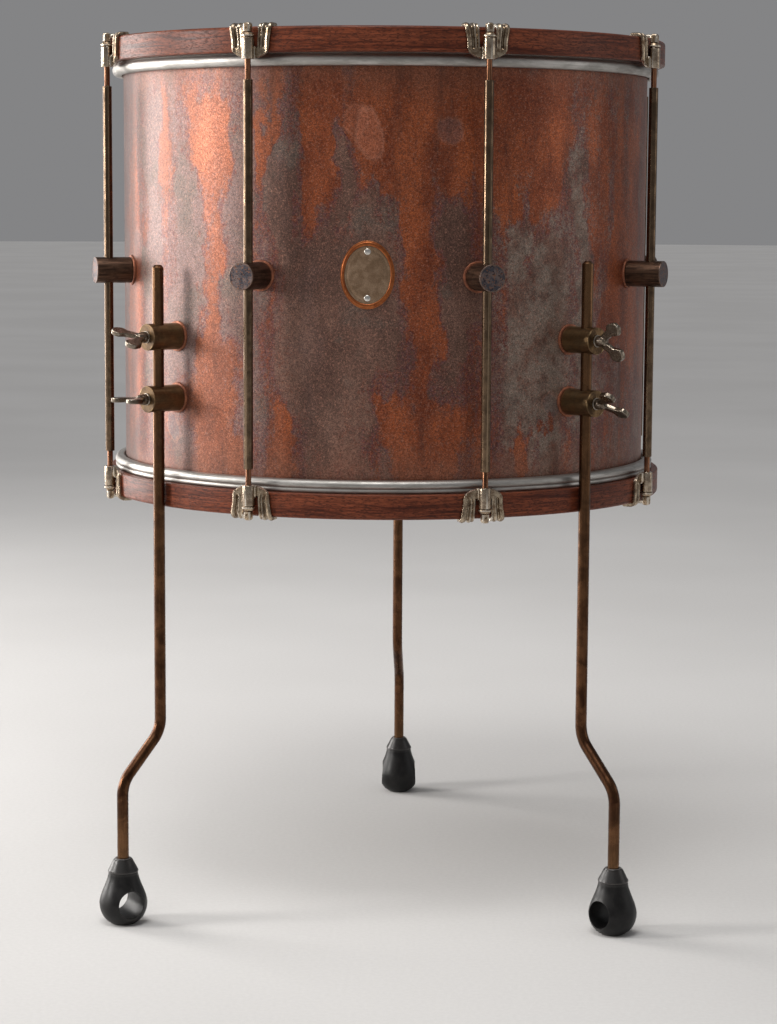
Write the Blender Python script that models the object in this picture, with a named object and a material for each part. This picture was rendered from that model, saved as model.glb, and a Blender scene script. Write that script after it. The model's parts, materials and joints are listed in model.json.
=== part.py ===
"""Floor tom: copper shell, wood hoops, eight tube lugs, three legs in clamp brackets.

Metres, +Z up, floor at z = 0, the badge side faces -Y. Every repeated piece is made once at the
front of the drum, where -Y is outward and +X is along the shell, then turned about the drum axis.
"""
import math

import bmesh
import bpy
from mathutils import Matrix, Vector

# ---- driving dimensions -----------------------------------------------------------------------
SHELL_R = 0.2286            # 18 in shell
SHELL_HALF = 0.1778         # 14 in deep
WALL = 0.0016
MID_Z = 0.5415              # middle of the shell above the floor
GAP = 0.0003                # clearance between pieces that touch
AXIS_Y = -0.0315            # drum axis, so that the box of the whole is centred on the origin
RING_SEG = 64

HOOP_OUT_R = 0.2434
HOOP_IN_R = 0.2326
HOOP_LOW = 0.1746           # heights from the middle of the shell
HOOP_HIGH = 0.1948

RIM_IN_R = 0.2302           # metal rim of the drumhead
RIM_OUT_R = 0.2380
RIM_LOW = 0.1643
RIM_HIGH = HOOP_LOW - GAP
FILM = 0.0005

LUG_COUNT = 8
LUG_STEP = 45.0
LUG_FIRST = 22.5
TUBE_R = 0.00385
TUBE_BORE_R = 0.0028
TUBE_HALF = 0.1547
LUG_Z = MID_Z - 0.0015     # the lugs sit a little below the middle
TUBE_AT_R = 0.2490
POST_R = 0.0110
POST_FACE_R = 0.2610
POST_BASE_R = SHELL_R + GAP
GASKET_R = 0.0127
GASKET_T = 0.0013

ROD_R = 0.0024
ROD_IN_TUBE = 0.0340
BARREL_R = 0.0049
BARREL_BORE_R = 0.0029
BARREL_LOW = 0.1694
BARREL_HIGH = 0.1860
FLANGE_R = 0.0053
KEY_HALF = 0.0030
KEY_TOP = 0.1978

CLAW_HALF = 0.0169
CLAW_NOTCH = 0.0064
CLAW_NOTCH_LOW = 0.1780
CLAW_T = 0.0024
CLAW_REACH = 0.0092
CLAW_ARC = 0.0088

LEG_ANGLES = {"left": -45.0, "right": 45.0, "rear": 180.0}
LEG_ROD_R = 0.004763        # 3/8 in rod
LEG_AT_R = 0.2487
LEG_TOP_Z = {"left": 0.5470, "right": 0.5525, "rear": 0.5500}
LEG_BEND_TOP_Z = 0.1587
LEG_BEND_LOW_Z = 0.1187
LEG_BEND_R = 0.0180
LEG_FOOT_R = 0.2880
BOSS_Z = (0.4880, 0.4370)
BOSS_FACE_R = 0.2605
SCREW_ROLLS = {"left": (155.0, 0.0), "right": (104.0, 142.0), "rear": (115.0, 15.0)}
LEG_BORE_R = LEG_ROD_R + 0.0005
CLAMP_BORE_R = 0.0034
CLAMP_R = 0.0030

FOOT_HOLE_R = 0.0112
FOOT_HOLE_Z = 0.0185
FOOT_SOCKET_Z = 0.0345
FOOT_PROFILE = (
    (0.0, 0.0), (0.0100, 0.0), (0.0145, 0.0026), (0.0182, 0.0095), (0.0200, 0.0180),
    (0.0189, 0.0245), (0.0156, 0.0335), (0.0122, 0.0440), (0.0126, 0.0440),
    (0.0123, 0.0458), (0.0077, 0.0554), (0.0, 0.0558),
)
FOOT_ROLLS = {"left": -11.0, "right": 0.0, "rear": 0.0}

BADGE_W = 0.0436
BADGE_H = 0.0544
BADGE_T = 0.0012

# ---- materials --------------------------------------------------------------------------------
COPPER = ("aged copper", (0.46, 0.20, 0.12), 0.42, 1.0)
MAHOGANY = ("reddish hoop wood", (0.24, 0.085, 0.045), 0.38, 0.0)
FILM_WHITE = ("drumhead film", (0.72, 0.71, 0.68), 0.55, 0.0)
BRONZE = ("dark bronze", (0.20, 0.13, 0.075), 0.36, 1.0)
NICKEL = ("aged nickel", (0.52, 0.46, 0.37), 0.30, 1.0)
ROD_METAL = ("coppery rod", (0.40, 0.24, 0.15), 0.32, 1.0)
BRASS = ("aged brass", (0.34, 0.25, 0.13), 0.34, 1.0)
LEG_METAL = ("brown brass rod", (0.36, 0.22, 0.12), 0.33, 1.0)
WING_METAL = ("worn dark nickel", (0.30, 0.28, 0.26), 0.33, 1.0)
RUBBER = ("black rubber", (0.035, 0.034, 0.034), 0.55, 0.0)


def make_material(spec):
    name, rgb, rough, metal = spec
    mat = bpy.data.materials.new(name)
    mat.use_nodes = True
    node = mat.node_tree.nodes["Principled BSDF"]
    node.inputs["Base Color"].default_value = (*rgb, 1.0)
    node.inputs["Roughness"].default_value = rough
    node.inputs["Metallic"].default_value = metal
    mat.diffuse_color = (*rgb, 1.0)
    return mat


# ---- mesh helpers -----------------------------------------------------------------------------
OUTWARD = Matrix.Rotation(math.radians(90.0), 4, "X")     # turns local +Z to -Y


def turn(angle):
    return Matrix.Rotation(math.radians(angle), 4, "Z")


def lathe(profile, segments, start=0.0):
    """Closed body turned about Z from a closed (r, z) outline that may start and end on the axis."""
    bm = bmesh.new()
    rings = []
    for r, z in profile:
        if r < 1e-7:
            rings.append([bm.verts.new((0.0, 0.0, z))])
            continue
        ring = []
        for i in range(segments):
            a = start + 2.0 * math.pi * i / segments
            ring.append(bm.verts.new((r * math.cos(a), r * math.sin(a), z)))
        rings.append(ring)
    count = len(rings)
    closed = len(rings[0]) > 1
    for k in range(count if closed else count - 1):
        lower = rings[k]
        upper = rings[(k + 1) % count]
        for i in range(segments):
            j = (i + 1) % segments
            if len(lower) == 1:
                bm.faces.new((lower[0], upper[j], upper[i]))
            elif len(upper) == 1:
                bm.faces.new((lower[i], lower[j], upper[0]))
            else:
                bm.faces.new((lower[i], lower[j], upper[j], upper[i]))
    return finish(bm)


def loft(rings):
    """Closed body through equal rings of points, capped at both ends."""
    bm = bmesh.new()
    made = [[bm.verts.new(p) for p in ring] for ring in rings]
    n = len(made[0])
    for lower, upper in zip(made, made[1:]):
        for i in range(n):
            j = (i + 1) % n
            bm.faces.new((lower[i], lower[j], upper[j], upper[i]))
    bm.faces.new(list(reversed(made[0])))
    bm.faces.new(made[-1])
    return finish(bm)


def cylinder(radius, z0, z1, segments, start=0.0):
    return lathe(((0.0, z0), (radius, z0), (radius, z1), (0.0, z1)), segments, start)


def box(x0, x1, y0, y1, z0, z1):
    low = [(x0, y0, z0), (x1, y0, z0), (x1, y1, z0), (x0, y1, z0)]
    return loft([low, [(x, y, z1) for x, y, z in low]])


def finish(bm):
    bmesh.ops.recalc_face_normals(bm, faces=bm.faces)
    mesh = bpy.data.meshes.new("piece")
    bm.to_mesh(mesh)
    bm.free()
    return mesh


def moved(mesh, matrix):
    copy = mesh.copy()
    copy.transform(matrix)
    if matrix.determinant() < 0.0:
        copy.flip_normals()
    return copy


def boolean(mesh, other, operation):
    """One mesh from two by an exact boolean; both inputs are used up."""
    a = bpy.data.objects.new("a", mesh)
    b = bpy.data.objects.new("b", other)
    for obj in (a, b):
        bpy.context.scene.collection.objects.link(obj)
    mod = a.modifiers.new("cut", "BOOLEAN")
    mod.operation = operation
    mod.solver = "EXACT"
    mod.object = b
    graph = bpy.context.evaluated_depsgraph_get()
    out = bpy.data.meshes.new_from_object(a.evaluated_get(graph))
    bpy.data.objects.remove(a)
    bpy.data.objects.remove(b)
    return out


def union(mesh, other):
    return boolean(mesh, other, "UNION")


def cut(mesh, other):
    return boolean(mesh, other, "DIFFERENCE")


def clean(mesh):
    bm = bmesh.new()
    bm.from_mesh(mesh)
    bmesh.ops.remove_doubles(bm, verts=bm.verts, dist=2e-6)
    bmesh.ops.dissolve_degenerate(bm, edges=bm.edges, dist=2e-6)
    bmesh.ops.recalc_face_normals(bm, faces=bm.faces)
    bm.to_mesh(mesh)
    bm.free()
    return mesh


def add(name, mesh, material, origin=(0.0, 0.0, 0.0), sharp=35.0):
    """Puts a finished mesh, given about the drum axis, into the scene with its own origin."""
    base = Vector(origin)
    mesh.transform(Matrix.Translation(-base))
    mesh.name = name
    mesh.materials.clear()
    mesh.materials.append(material)
    mesh.shade_smooth()
    mesh.set_sharp_from_angle(angle=math.radians(sharp))
    obj = bpy.data.objects.new(name, mesh)
    obj.location = base + Vector((0.0, AXIS_Y, 0.0))
    bpy.context.scene.collection.objects.link(obj)
    return obj


def flipped(mesh):
    """The same piece on the other end of the drum, mirrored about the middle of the shell."""
    up = Matrix.Translation((0.0, 0.0, MID_Z))
    return moved(mesh, up @ Matrix.Scale(-1.0, 4, (0.0, 0.0, 1.0)) @ up.inverted())


# ---- shell, badge and hoops -------------------------------------------------------------------
def shell_mesh():
    edge = (
        (SHELL_R, 0.1690), (0.2273, 0.1741), (0.2240, 0.1772),
        (0.2232, 0.1759), (0.2260, 0.1732), (SHELL_R - WALL, 0.1690),
    )
    top = [(r, MID_Z + h) for r, h in edge]
    low = [(r, MID_Z - h) for r, h in reversed(edge)]
    mesh = lathe(top + low, RING_SEG)
    plate = badge_mesh()
    mesh = union(mesh, plate)
    hole = moved(cylinder(0.0031, 0.2200, 0.2340, 12), OUTWARD)
    at_lugs = Matrix.Translation((0.0, 0.0, LUG_Z))
    for k in range(LUG_COUNT):
        mesh = cut(mesh, moved(hole, at_lugs @ turn(LUG_FIRST + LUG_STEP * k)))
    for angle in LEG_ANGLES.values():
        for z in BOSS_Z:
            mesh = cut(mesh, moved(hole, Matrix.Translation((0.0, 0.0, z)) @ turn(angle)))
    return clean(mesh)


def badge_mesh():
    """Oval plate bent to the shell and sunk 0.6 mm into its wall, with two round rivet heads."""
    bm = bmesh.new()
    layers = []
    for radius, shrink in ((SHELL_R - 0.0006, 1.0), (SHELL_R + BADGE_T - 0.0004, 1.0),
                           (SHELL_R + BADGE_T, 0.975)):
        ring = []
        for i in range(28):
            a = 2.0 * math.pi * i / 28
            x = 0.5 * BADGE_W * shrink * math.cos(a)
            z = 0.5 * BADGE_H * shrink * math.sin(a)
            ring.append(bm.verts.new((radius * math.sin(x / radius), -radius * math.cos(x / radius),
                                      MID_Z + z)))
        layers.append(ring)
    for lower, upper in zip(layers, layers[1:]):
        for i in range(28):
            j = (i + 1) % 28
            bm.faces.new((lower[i], lower[j], upper[j], upper[i]))
    for ring in (layers[0], layers[-1]):
        half = len(ring) // 2
        for i in range(half):
            if i == 0:
                bm.faces.new((ring[0], ring[1], ring[-1]))
            elif i == half - 1:
                bm.faces.new((ring[half - 1], ring[half], ring[half + 1]))
            else:
                bm.faces.new((ring[i], ring[i + 1], ring[-i - 1], ring[-i]))
    return finish(bm)


def hoop_mesh():
    c = 0.0012
    outline = (
        (HOOP_OUT_R - c, HOOP_LOW), (HOOP_OUT_R, HOOP_LOW + c), (HOOP_OUT_R, HOOP_HIGH - 2.0 * c),
        (HOOP_OUT_R - 2.0 * c, HOOP_HIGH), (HOOP_IN_R + 2.0 * c, HOOP_HIGH),
        (HOOP_IN_R, HOOP_HIGH - 2.0 * c), (HOOP_IN_R, HOOP_LOW),
    )
    return lathe([(r, MID_Z + h) for r, h in outline], RING_SEG)


def head_mesh():
    """Film over the shell edge, pressed into its metal rim: one turned body."""
    top = SHELL_HALF + FILM
    outline = (
        (0.0, top), (0.2252, top), (0.2284, 0.1764), (0.2302, RIM_HIGH), (RIM_OUT_R - 0.0010, RIM_HIGH),
        (RIM_OUT_R, RIM_HIGH - 0.0010), (RIM_OUT_R, RIM_LOW + 0.0012), (RIM_OUT_R - 0.0012, RIM_LOW),
        (RIM_IN_R, RIM_LOW), (0.2294, 0.1706), (0.2287, 0.1731), (0.2271, 0.1758), (0.2244, SHELL_HALF),
        (0.0, SHELL_HALF),
    )
    return lathe([(r, MID_Z + h) for r, h in outline], RING_SEG)


# ---- lugs, claws and key rods -----------------------------------------------------------------
def lug_mesh():
    """Turned post with its gasket and inside screw, crossed by one long open tube."""
    outline = (
        (0.0, 0.2232), (0.0065, 0.2232), (0.0065, 0.2266), (0.0025, 0.2266),
        (0.0025, POST_BASE_R), (GASKET_R, POST_BASE_R),
        (GASKET_R, POST_BASE_R + GASKET_T), (POST_R, POST_BASE_R + GASKET_T),
        (POST_R, POST_FACE_R - 0.0008), (POST_R - 0.0008, POST_FACE_R), (0.0, POST_FACE_R),
    )
    post = moved(lathe(outline, 16), Matrix.Translation((0.0, 0.0, LUG_Z)) @ OUTWARD)
    place = Matrix.Translation((0.0, -TUBE_AT_R, LUG_Z))
    tube = moved(cylinder(TUBE_R, -TUBE_HALF, TUBE_HALF, 12), place)
    bore = moved(cylinder(TUBE_BORE_R, -0.2000, 0.2000, 10), place)
    return clean(cut(union(post, tube), bore))


def claw_mesh():
    """Two-armed claw: curved plate, hooks over the hoop edge, and a bored barrel for the key rod."""
    xs = (-CLAW_HALF, -0.0128, -CLAW_NOTCH, 0.0, CLAW_NOTCH, 0.0128, CLAW_HALF)
    inner = HOOP_OUT_R + GAP
    radii = (inner - CLAW_REACH, inner, inner + CLAW_T)
    hook_low = HOOP_HIGH + GAP
    hook_high = hook_low + CLAW_T

    def heights(x):
        sag = math.sqrt(max(0.0, 1.0 - (x / CLAW_HALF) ** 2))
        return (BARREL_LOW + CLAW_ARC * (1.0 - sag), CLAW_NOTCH_LOW + 0.0002, hook_low, hook_high)

    def present(i, k, j):
        arm = i not in (2, 3)
        if k == 1:
            return j == 0 or arm
        return arm and j == 2

    bm = bmesh.new()
    verts = {}

    def vert(i, k, j):
        if (i, k, j) not in verts:
            a = xs[i] / inner
            r = radii[k]
            verts[(i, k, j)] = bm.verts.new((r * math.sin(a), -r * math.cos(a), MID_Z + heights(xs[i])[j]))
        return verts[(i, k, j)]

    sides = (
        ((-1, 0, 0), ((0, 0, 0), (0, 0, 1), (0, 1, 1), (0, 1, 0))),
        ((1, 0, 0), ((1, 0, 0), (1, 1, 0), (1, 1, 1), (1, 0, 1))),
        ((0, -1, 0), ((0, 0, 0), (1, 0, 0), (1, 0, 1), (0, 0, 1))),
        ((0, 1, 0), ((0, 1, 0), (0, 1, 1), (1, 1, 1), (1, 1, 0))),
        ((0, 0, -1), ((0, 0, 0), (0, 1, 0), (1, 1, 0), (1, 0, 0))),
        ((0, 0, 1), ((0, 0, 1), (1, 0, 1), (1, 1, 1), (0, 1, 1))),
    )
    cells = [(i, k, j) for i in range(6) for k in range(2) for j in range(3) if present(i, k, j)]
    for cell in cells:
        for step, corners in sides:
            beside = tuple(c + s for c, s in zip(cell, step))
            if beside in cells:
                continue
            bm.faces.new([vert(*(c + d for c, d in zip(cell, corner))) for corner in corners])
    bmesh.ops.recalc_face_normals(bm, faces=bm.faces)
    crest = []
    for edge in bm.edges:
        if all(abs(v.co.z - MID_Z - hook_high) < 1e-6 and v.co.xy.length > inner + CLAW_T - 1e-6
               for v in edge.verts):
            crest.append(edge)
    bmesh.ops.bevel(bm, geom=crest, offset=0.0012, segments=1, profile=0.5, affect="EDGES")
    plate = finish(bm)
    place = Matrix.Translation((0.0, -TUBE_AT_R, MID_Z))
    barrel = moved(cylinder(BARREL_R, BARREL_LOW - 0.0002, BARREL_HIGH, 12), place)
    bore = moved(cylinder(BARREL_BORE_R, 0.1600, 0.2000, 12), place)
    return clean(cut(union(plate, barrel), bore))


def key_rod_mesh():
    """Threaded rod, seat flange, neck and square key head, lofted through rings of eight points."""
    low = TUBE_HALF - ROD_IN_TUBE
    seat = BARREL_HIGH + GAP
    stations = (
        (ROD_R - 0.0006, low, False), (ROD_R, low + 0.0008, False), (ROD_R, seat, False),
        (FLANGE_R, seat, False), (FLANGE_R, seat + 0.0018, False), (0.0036, seat + 0.0038, False),
        (KEY_HALF, seat + 0.0044, True), (KEY_HALF, KEY_TOP - 0.0008, True),
        (KEY_HALF - 0.0008, KEY_TOP, True),
    )
    rings = []
    for size, h, square in stations:
        ring = []
        for i in range(8):
            a = math.pi * i / 4.0
            r = size / max(abs(math.cos(a)), abs(math.sin(a))) if square else size
            ring.append((r * math.cos(a), r * math.sin(a) - TUBE_AT_R, MID_Z + h))
        rings.append(ring)
    return loft(rings)


# ---- legs -------------------------------------------------------------------------------------
def bracket_mesh():
    """Two bosses bored for the leg and for their wing screws, held through the shell to one strip."""
    outline = (
        (0.0, 0.2236), (0.0025, 0.2236), (0.0025, POST_BASE_R), (GASKET_R, POST_BASE_R),
        (GASKET_R, POST_BASE_R + GASKET_T), (POST_R, POST_BASE_R + GASKET_T),
        (POST_R, BOSS_FACE_R - 0.0008), (POST_R - 0.0008, BOSS_FACE_R), (0.0, BOSS_FACE_R),
    )
    boss = moved(lathe(outline, 16), OUTWARD)
    mid = 0.5 * (BOSS_Z[0] + BOSS_Z[1])
    half = 0.5 * (BOSS_Z[0] - BOSS_Z[1])
    mesh = box(-0.0100, 0.0100, -0.2260, -0.2240, mid - half - 0.0110, mid + half + 0.0110)
    for z in BOSS_Z:
        mesh = union(mesh, moved(boss, Matrix.Translation((0.0, 0.0, z))))
    bore = moved(cylinder(LEG_BORE_R, mid - 0.0600, mid + 0.0600, 12),
                 Matrix.Translation((0.0, -LEG_AT_R, 0.0)))
    mesh = cut(mesh, bore)
    for z in BOSS_Z:
        hole = moved(cylinder(CLAMP_BORE_R, LEG_AT_R + 0.0010, BOSS_FACE_R + 0.0100, 8), OUTWARD)
        mesh = cut(mesh, moved(hole, Matrix.Translation((0.0, 0.0, z))))
    return clean(mesh)


def wing_screw_mesh():
    """Clamp screw about +Z: shank inside the boss, hub at its face, two splayed lobes."""
    face = BOSS_FACE_R + GAP
    outline = (
        (0.0, LEG_AT_R + LEG_ROD_R + GAP), (CLAMP_R, LEG_AT_R + LEG_ROD_R + GAP), (CLAMP_R, face),
        (0.0046, face), (0.0046, face + 0.0040), (0.0038, face + 0.0090), (0.0, face + 0.0100),
    )
    mesh = lathe(outline, 10)
    for side in (-1.0, 1.0):
        lobe = (
            (0.0010, 0.0040), (0.0052, 0.0066), (0.0096, 0.0132), (0.0136, 0.0154), (0.0160, 0.0198),
            (0.0144, 0.0254), (0.0104, 0.0270), (0.0066, 0.0248), (0.0050, 0.0180), (0.0008, 0.0096),
        )
        front = [(side * x, -0.0019, face + s) for x, s in lobe]
        back = [(side * x, 0.0019, face + s) for x, s in lobe]
        mesh = union(mesh, loft([front, back]))
    return clean(mesh)


def leg_mesh(top_z):
    """Straight rod with a double bend near its foot, swept with a round section."""
    corners = [
        Vector((LEG_AT_R, top_z)), Vector((LEG_AT_R, LEG_BEND_TOP_Z)),
        Vector((LEG_FOOT_R, LEG_BEND_LOW_Z)), Vector((LEG_FOOT_R, FOOT_SOCKET_Z + GAP)),
    ]
    path = [corners[0], corners[0] + Vector((0.0, -0.0020))]
    for before, here, after in zip(corners, corners[1:], corners[2:]):
        into = (here - before).normalized()
        out = (after - here).normalized()
        bend = into.angle(out)
        reach = LEG_BEND_R * math.tan(0.5 * bend)
        side = (out - into * into.dot(out)).normalized()
        start = here - into * reach
        for i in range(5):
            t = bend * i / 4.0
            path.append(start + into * (LEG_BEND_R * math.sin(t)) + side * (LEG_BEND_R * (1.0 - math.cos(t))))
    path += [corners[3] + Vector((0.0, 0.0010)), corners[3]]
    rings = []
    for k, point in enumerate(path):
        ahead = path[min(k + 1, len(path) - 1)]
        behind = path[max(k - 1, 0)]
        along = (ahead - behind).normalized()
        across = Vector((-along.y, along.x))
        radius = LEG_ROD_R
        if k == 0:
            radius = LEG_ROD_R - 0.0020
        if k == len(path) - 1:
            radius = LEG_ROD_R - 0.0010
        ring = []
        for i in range(12):
            a = 2.0 * math.pi * i / 12
            off = across * (radius * math.cos(a))
            ring.append((radius * math.sin(a), -(point.x + off.x), point.y + off.y))
        rings.append(ring)
    return loft(rings)


def foot_mesh():
    """Rubber foot about +Z: flared collar, bulb, cross hole along the shell, socket for the rod."""
    mesh = lathe(FOOT_PROFILE, 18)
    cross = moved(cylinder(FOOT_HOLE_R, -0.0300, 0.0300, 14), Matrix.Rotation(math.radians(90.0), 4, "Y"))
    mesh = cut(mesh, moved(cross, Matrix.Translation((0.0, 0.0, FOOT_HOLE_Z))))
    mesh = cut(mesh, cylinder(LEG_ROD_R + 0.0004, FOOT_SOCKET_Z, 0.0700, 12, 0.5 * math.pi))
    return clean(mesh)


# ---- assembly ---------------------------------------------------------------------------------
def build():
    for old in list(bpy.data.objects):
        bpy.data.objects.remove(old)
    mats = {s[0]: make_material(s) for s in (COPPER, MAHOGANY, FILM_WHITE, BRONZE, NICKEL, ROD_METAL,
                                             BRASS, LEG_METAL, WING_METAL, RUBBER)}

    add("shell", shell_mesh(), mats[COPPER[0]], (0.0, 0.0, MID_Z))
    hoop = hoop_mesh()
    add("top_hoop", hoop.copy(), mats[MAHOGANY[0]], (0.0, 0.0, MID_Z + HOOP_LOW), 30.0)
    add("bottom_hoop", flipped(hoop), mats[MAHOGANY[0]], (0.0, 0.0, MID_Z - HOOP_LOW), 30.0)
    head = head_mesh()
    add("batter_head", head.copy(), mats[FILM_WHITE[0]], (0.0, 0.0, MID_Z + SHELL_HALF), 25.0)
    add("resonant_head", flipped(head), mats[FILM_WHITE[0]], (0.0, 0.0, MID_Z - SHELL_HALF), 25.0)

    lug = lug_mesh()
    claw = claw_mesh()
    rod = key_rod_mesh()
    ends = (("top", 1.0, claw, rod), ("bottom", -1.0, flipped(claw), flipped(rod)))
    for k in range(LUG_COUNT):
        angle = LUG_FIRST + LUG_STEP * k
        spin = turn(angle)
        at = spin @ Vector((0.0, -TUBE_AT_R, 0.0))
        add(f"tube_lug_{k + 1}", moved(lug, spin), mats[BRONZE[0]], (at.x, at.y, LUG_Z))
        for end, sign, end_claw, end_rod in ends:
            high = (at.x, at.y, MID_Z + sign * BARREL_HIGH)
            add(f"{end}_claw_{k + 1}", moved(end_claw, spin), mats[NICKEL[0]], high)
            add(f"{end}_key_rod_{k + 1}", moved(end_rod, spin), mats[ROD_METAL[0]], high)

    bracket = bracket_mesh()
    screw = wing_screw_mesh()
    foot = foot_mesh()
    for side, angle in LEG_ANGLES.items():
        spin = turn(angle)
        rod_at = spin @ Vector((0.0, -LEG_AT_R, LEG_TOP_Z[side]))
        foot_at = spin @ Vector((0.0, -LEG_FOOT_R, 0.0))
        add(f"leg_bracket_{side}", moved(bracket, spin), mats[BRASS[0]],
            (rod_at.x, rod_at.y, BOSS_Z[0]))
        for place, z, roll in zip(("upper", "lower"), BOSS_Z, SCREW_ROLLS[side]):
            set_at = spin @ Matrix.Translation((0.0, 0.0, z)) @ OUTWARD @ turn(roll)
            tip = spin @ Vector((0.0, -BOSS_FACE_R, z))
            add(f"wing_screw_{side}_{place}", moved(screw, set_at), mats[WING_METAL[0]], tip)
        leg = leg_mesh(LEG_TOP_Z[side])
        add(f"leg_{side}", moved(leg, spin), mats[LEG_METAL[0]], rod_at)
        stand = Matrix.Translation(foot_at) @ turn(angle + FOOT_ROLLS[side])
        add(f"foot_{side}", moved(foot, stand), mats[RUBBER[0]], foot_at)


build()
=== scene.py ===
import json
from math import atan2, cos, degrees, exp, hypot, pi, radians, sin, sqrt, tan

import bmesh
import bpy
from mathutils import Matrix, Vector, noise


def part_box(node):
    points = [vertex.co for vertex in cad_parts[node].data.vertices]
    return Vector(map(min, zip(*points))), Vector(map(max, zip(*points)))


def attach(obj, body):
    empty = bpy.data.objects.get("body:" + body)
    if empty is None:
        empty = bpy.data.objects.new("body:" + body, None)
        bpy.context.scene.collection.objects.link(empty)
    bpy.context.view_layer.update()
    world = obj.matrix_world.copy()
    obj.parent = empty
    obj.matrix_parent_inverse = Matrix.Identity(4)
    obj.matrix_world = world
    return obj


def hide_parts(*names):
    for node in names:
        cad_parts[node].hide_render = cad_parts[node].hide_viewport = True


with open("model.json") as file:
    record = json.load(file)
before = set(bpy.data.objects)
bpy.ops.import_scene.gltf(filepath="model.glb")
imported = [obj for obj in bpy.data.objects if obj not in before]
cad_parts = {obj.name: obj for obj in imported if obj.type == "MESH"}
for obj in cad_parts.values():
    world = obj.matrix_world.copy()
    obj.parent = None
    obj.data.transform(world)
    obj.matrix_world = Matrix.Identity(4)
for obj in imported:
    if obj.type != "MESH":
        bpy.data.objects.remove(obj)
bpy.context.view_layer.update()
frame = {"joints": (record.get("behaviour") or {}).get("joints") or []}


MM = 0.001

# ---- sizes and places read from the frame ------------------------------------------------------
JOINTS = {joint["name"]: joint for joint in frame["joints"]}
LUGS = range(1, 9)
SIDES = ("left", "right", "rear")
PLACES = ("upper", "lower")

shell_low, shell_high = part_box("shell")
hoop_low, hoop_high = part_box("top_hoop")
head_low, head_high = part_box("batter_head")
lug_low, lug_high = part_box("tube_lug_1")
leg_low, leg_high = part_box("leg_rear")
foot_low, foot_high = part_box("foot_rear")

MIDDLE = Vector((0.5 * (hoop_low.x + hoop_high.x), 0.5 * (hoop_low.y + hoop_high.y),
                 0.5 * (shell_low.z + shell_high.z)))
SHELL_R = 0.5 * (shell_high.x - shell_low.x)
SHELL_HALF = 0.5 * (shell_high.z - shell_low.z)
HOOP_OUT_R = 0.5 * (hoop_high.x - hoop_low.x)
HOOP_LOW = hoop_low.z - MIDDLE.z
HOOP_HIGH = hoop_high.z - MIDDLE.z
RIM_OUT_R = 0.5 * (head_high.x - head_low.x)
RIM_LOW = head_low.z - MIDDLE.z
FILM_HIGH = head_high.z - MIDDLE.z
TUBE_HALF = 0.5 * (lug_high.z - lug_low.z)
LUG_Z = 0.5 * (lug_low.z + lug_high.z) - MIDDLE.z
LEG_ROD_R = 0.5 * (leg_high.x - leg_low.x)
LEG_AT_R = leg_low.y - MIDDLE.y + LEG_ROD_R
LEG_FOOT_R = leg_high.y - MIDDLE.y - LEG_ROD_R
FOOT_HIGH = foot_high.z - foot_low.z


def joint_at(name):
    return Vector(JOINTS[name]["pos_m"]) - MIDDLE


def angle_of(point):
    """Turn about the drum axis from the front to this point, positive towards +X."""
    return atan2(point.x, -point.y)


TUBE_AT_R = joint_at("top_key_rod_1_turn").xy.length
BARREL_HIGH = joint_at("top_key_rod_1_turn").z
BOSS_FACE_R = joint_at("wing_screw_left_upper_turn").xy.length
BOSS_Z = {p: joint_at(f"wing_screw_left_{p}_turn").z for p in PLACES}

# ---- sizes of the finer pieces -----------------------------------------------------------------
GAP = 0.3 * MM
WALL = 1.6 * MM
HOOP_WIDTH = 10.8 * MM
RIM_WIDTH = 8.3 * MM
RIM_HIGH = HOOP_LOW - GAP
POST_R = 11.0 * MM
POST_FACE_R = BOSS_FACE_R + 0.5 * MM
GASKET_R = 12.7 * MM
GASKET_T = 1.3 * MM
TUBE_R = 3.85 * MM
TUBE_BORE_R = 2.8 * MM
ROD_R = 2.4 * MM
BARREL_R = 4.9 * MM
BARREL_LOW = BARREL_HIGH - 16.6 * MM
CLAW_HALF = 16.9 * MM
CLAW_NOTCH = 6.4 * MM
CLAW_T = 2.4 * MM
CLAW_REACH = 9.2 * MM

BADGE_W = 43.6 * MM
BADGE_H = 54.4 * MM

BORE_REACH = 20.0 * MM                     # cutting rods reach this far to both sides


def turn(angle, axis="Z"):
    """A turn in degrees."""
    return Matrix.Rotation(radians(angle), 4, axis)


def put(angle=0.0, height=0.0):
    """From the front of the drum to this turn about its axis, in radians, and height above its middle."""
    return Matrix.Translation(MIDDLE + Vector((0.0, 0.0, height))) @ Matrix.Rotation(angle, 4, "Z")


OUTWARD = turn(90.0, "X")                  # turns local +Z to -Y


def out_to(radius):
    """From the drum's axis to this radius at the front."""
    return Matrix.Translation((0.0, -radius, 0.0))


# ---- mesh tools --------------------------------------------------------------------------------
def rounded(outline, steps=4):
    """Points of a closed outline given as (x, y, corner radius)."""
    points = []
    for i, (x, y, radius) in enumerate(outline):
        here = Vector((x, y))
        if radius <= 0.0:
            points.append(here)
            continue
        into = (Vector(outline[i - 1][:2]) - here).normalized()
        out = (Vector(outline[(i + 1) % len(outline)][:2]) - here).normalized()
        half = 0.5 * into.angle(out)
        centre = here + (into + out).normalized() * (radius / sin(half))
        first = here + into * (radius / tan(half)) - centre
        last = here + out * (radius / tan(half)) - centre
        sweep = first.angle(last)
        points += [centre + (first * sin((1.0 - t) * sweep) + last * sin(t * sweep)) / sin(sweep)
                   for t in spread(0.0, 1.0, steps)]
    return points


def box_section(x0, x1, y0, y1, eases, steps):
    """Rounded rectangle; eases are the corners' radii in mm, from (x0, y0) by (x1, y0) round to (x0, y1)."""
    corners = ((x0, y0), (x1, y0), (x1, y1), (x0, y1))
    return rounded([(*corner, ease * MM) for corner, ease in zip(corners, eases)], steps)


def close_up(bm):
    bmesh.ops.recalc_face_normals(bm, faces=bm.faces)
    mesh = bpy.data.meshes.new("piece")
    bm.to_mesh(mesh)
    bm.free()
    return mesh


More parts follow.
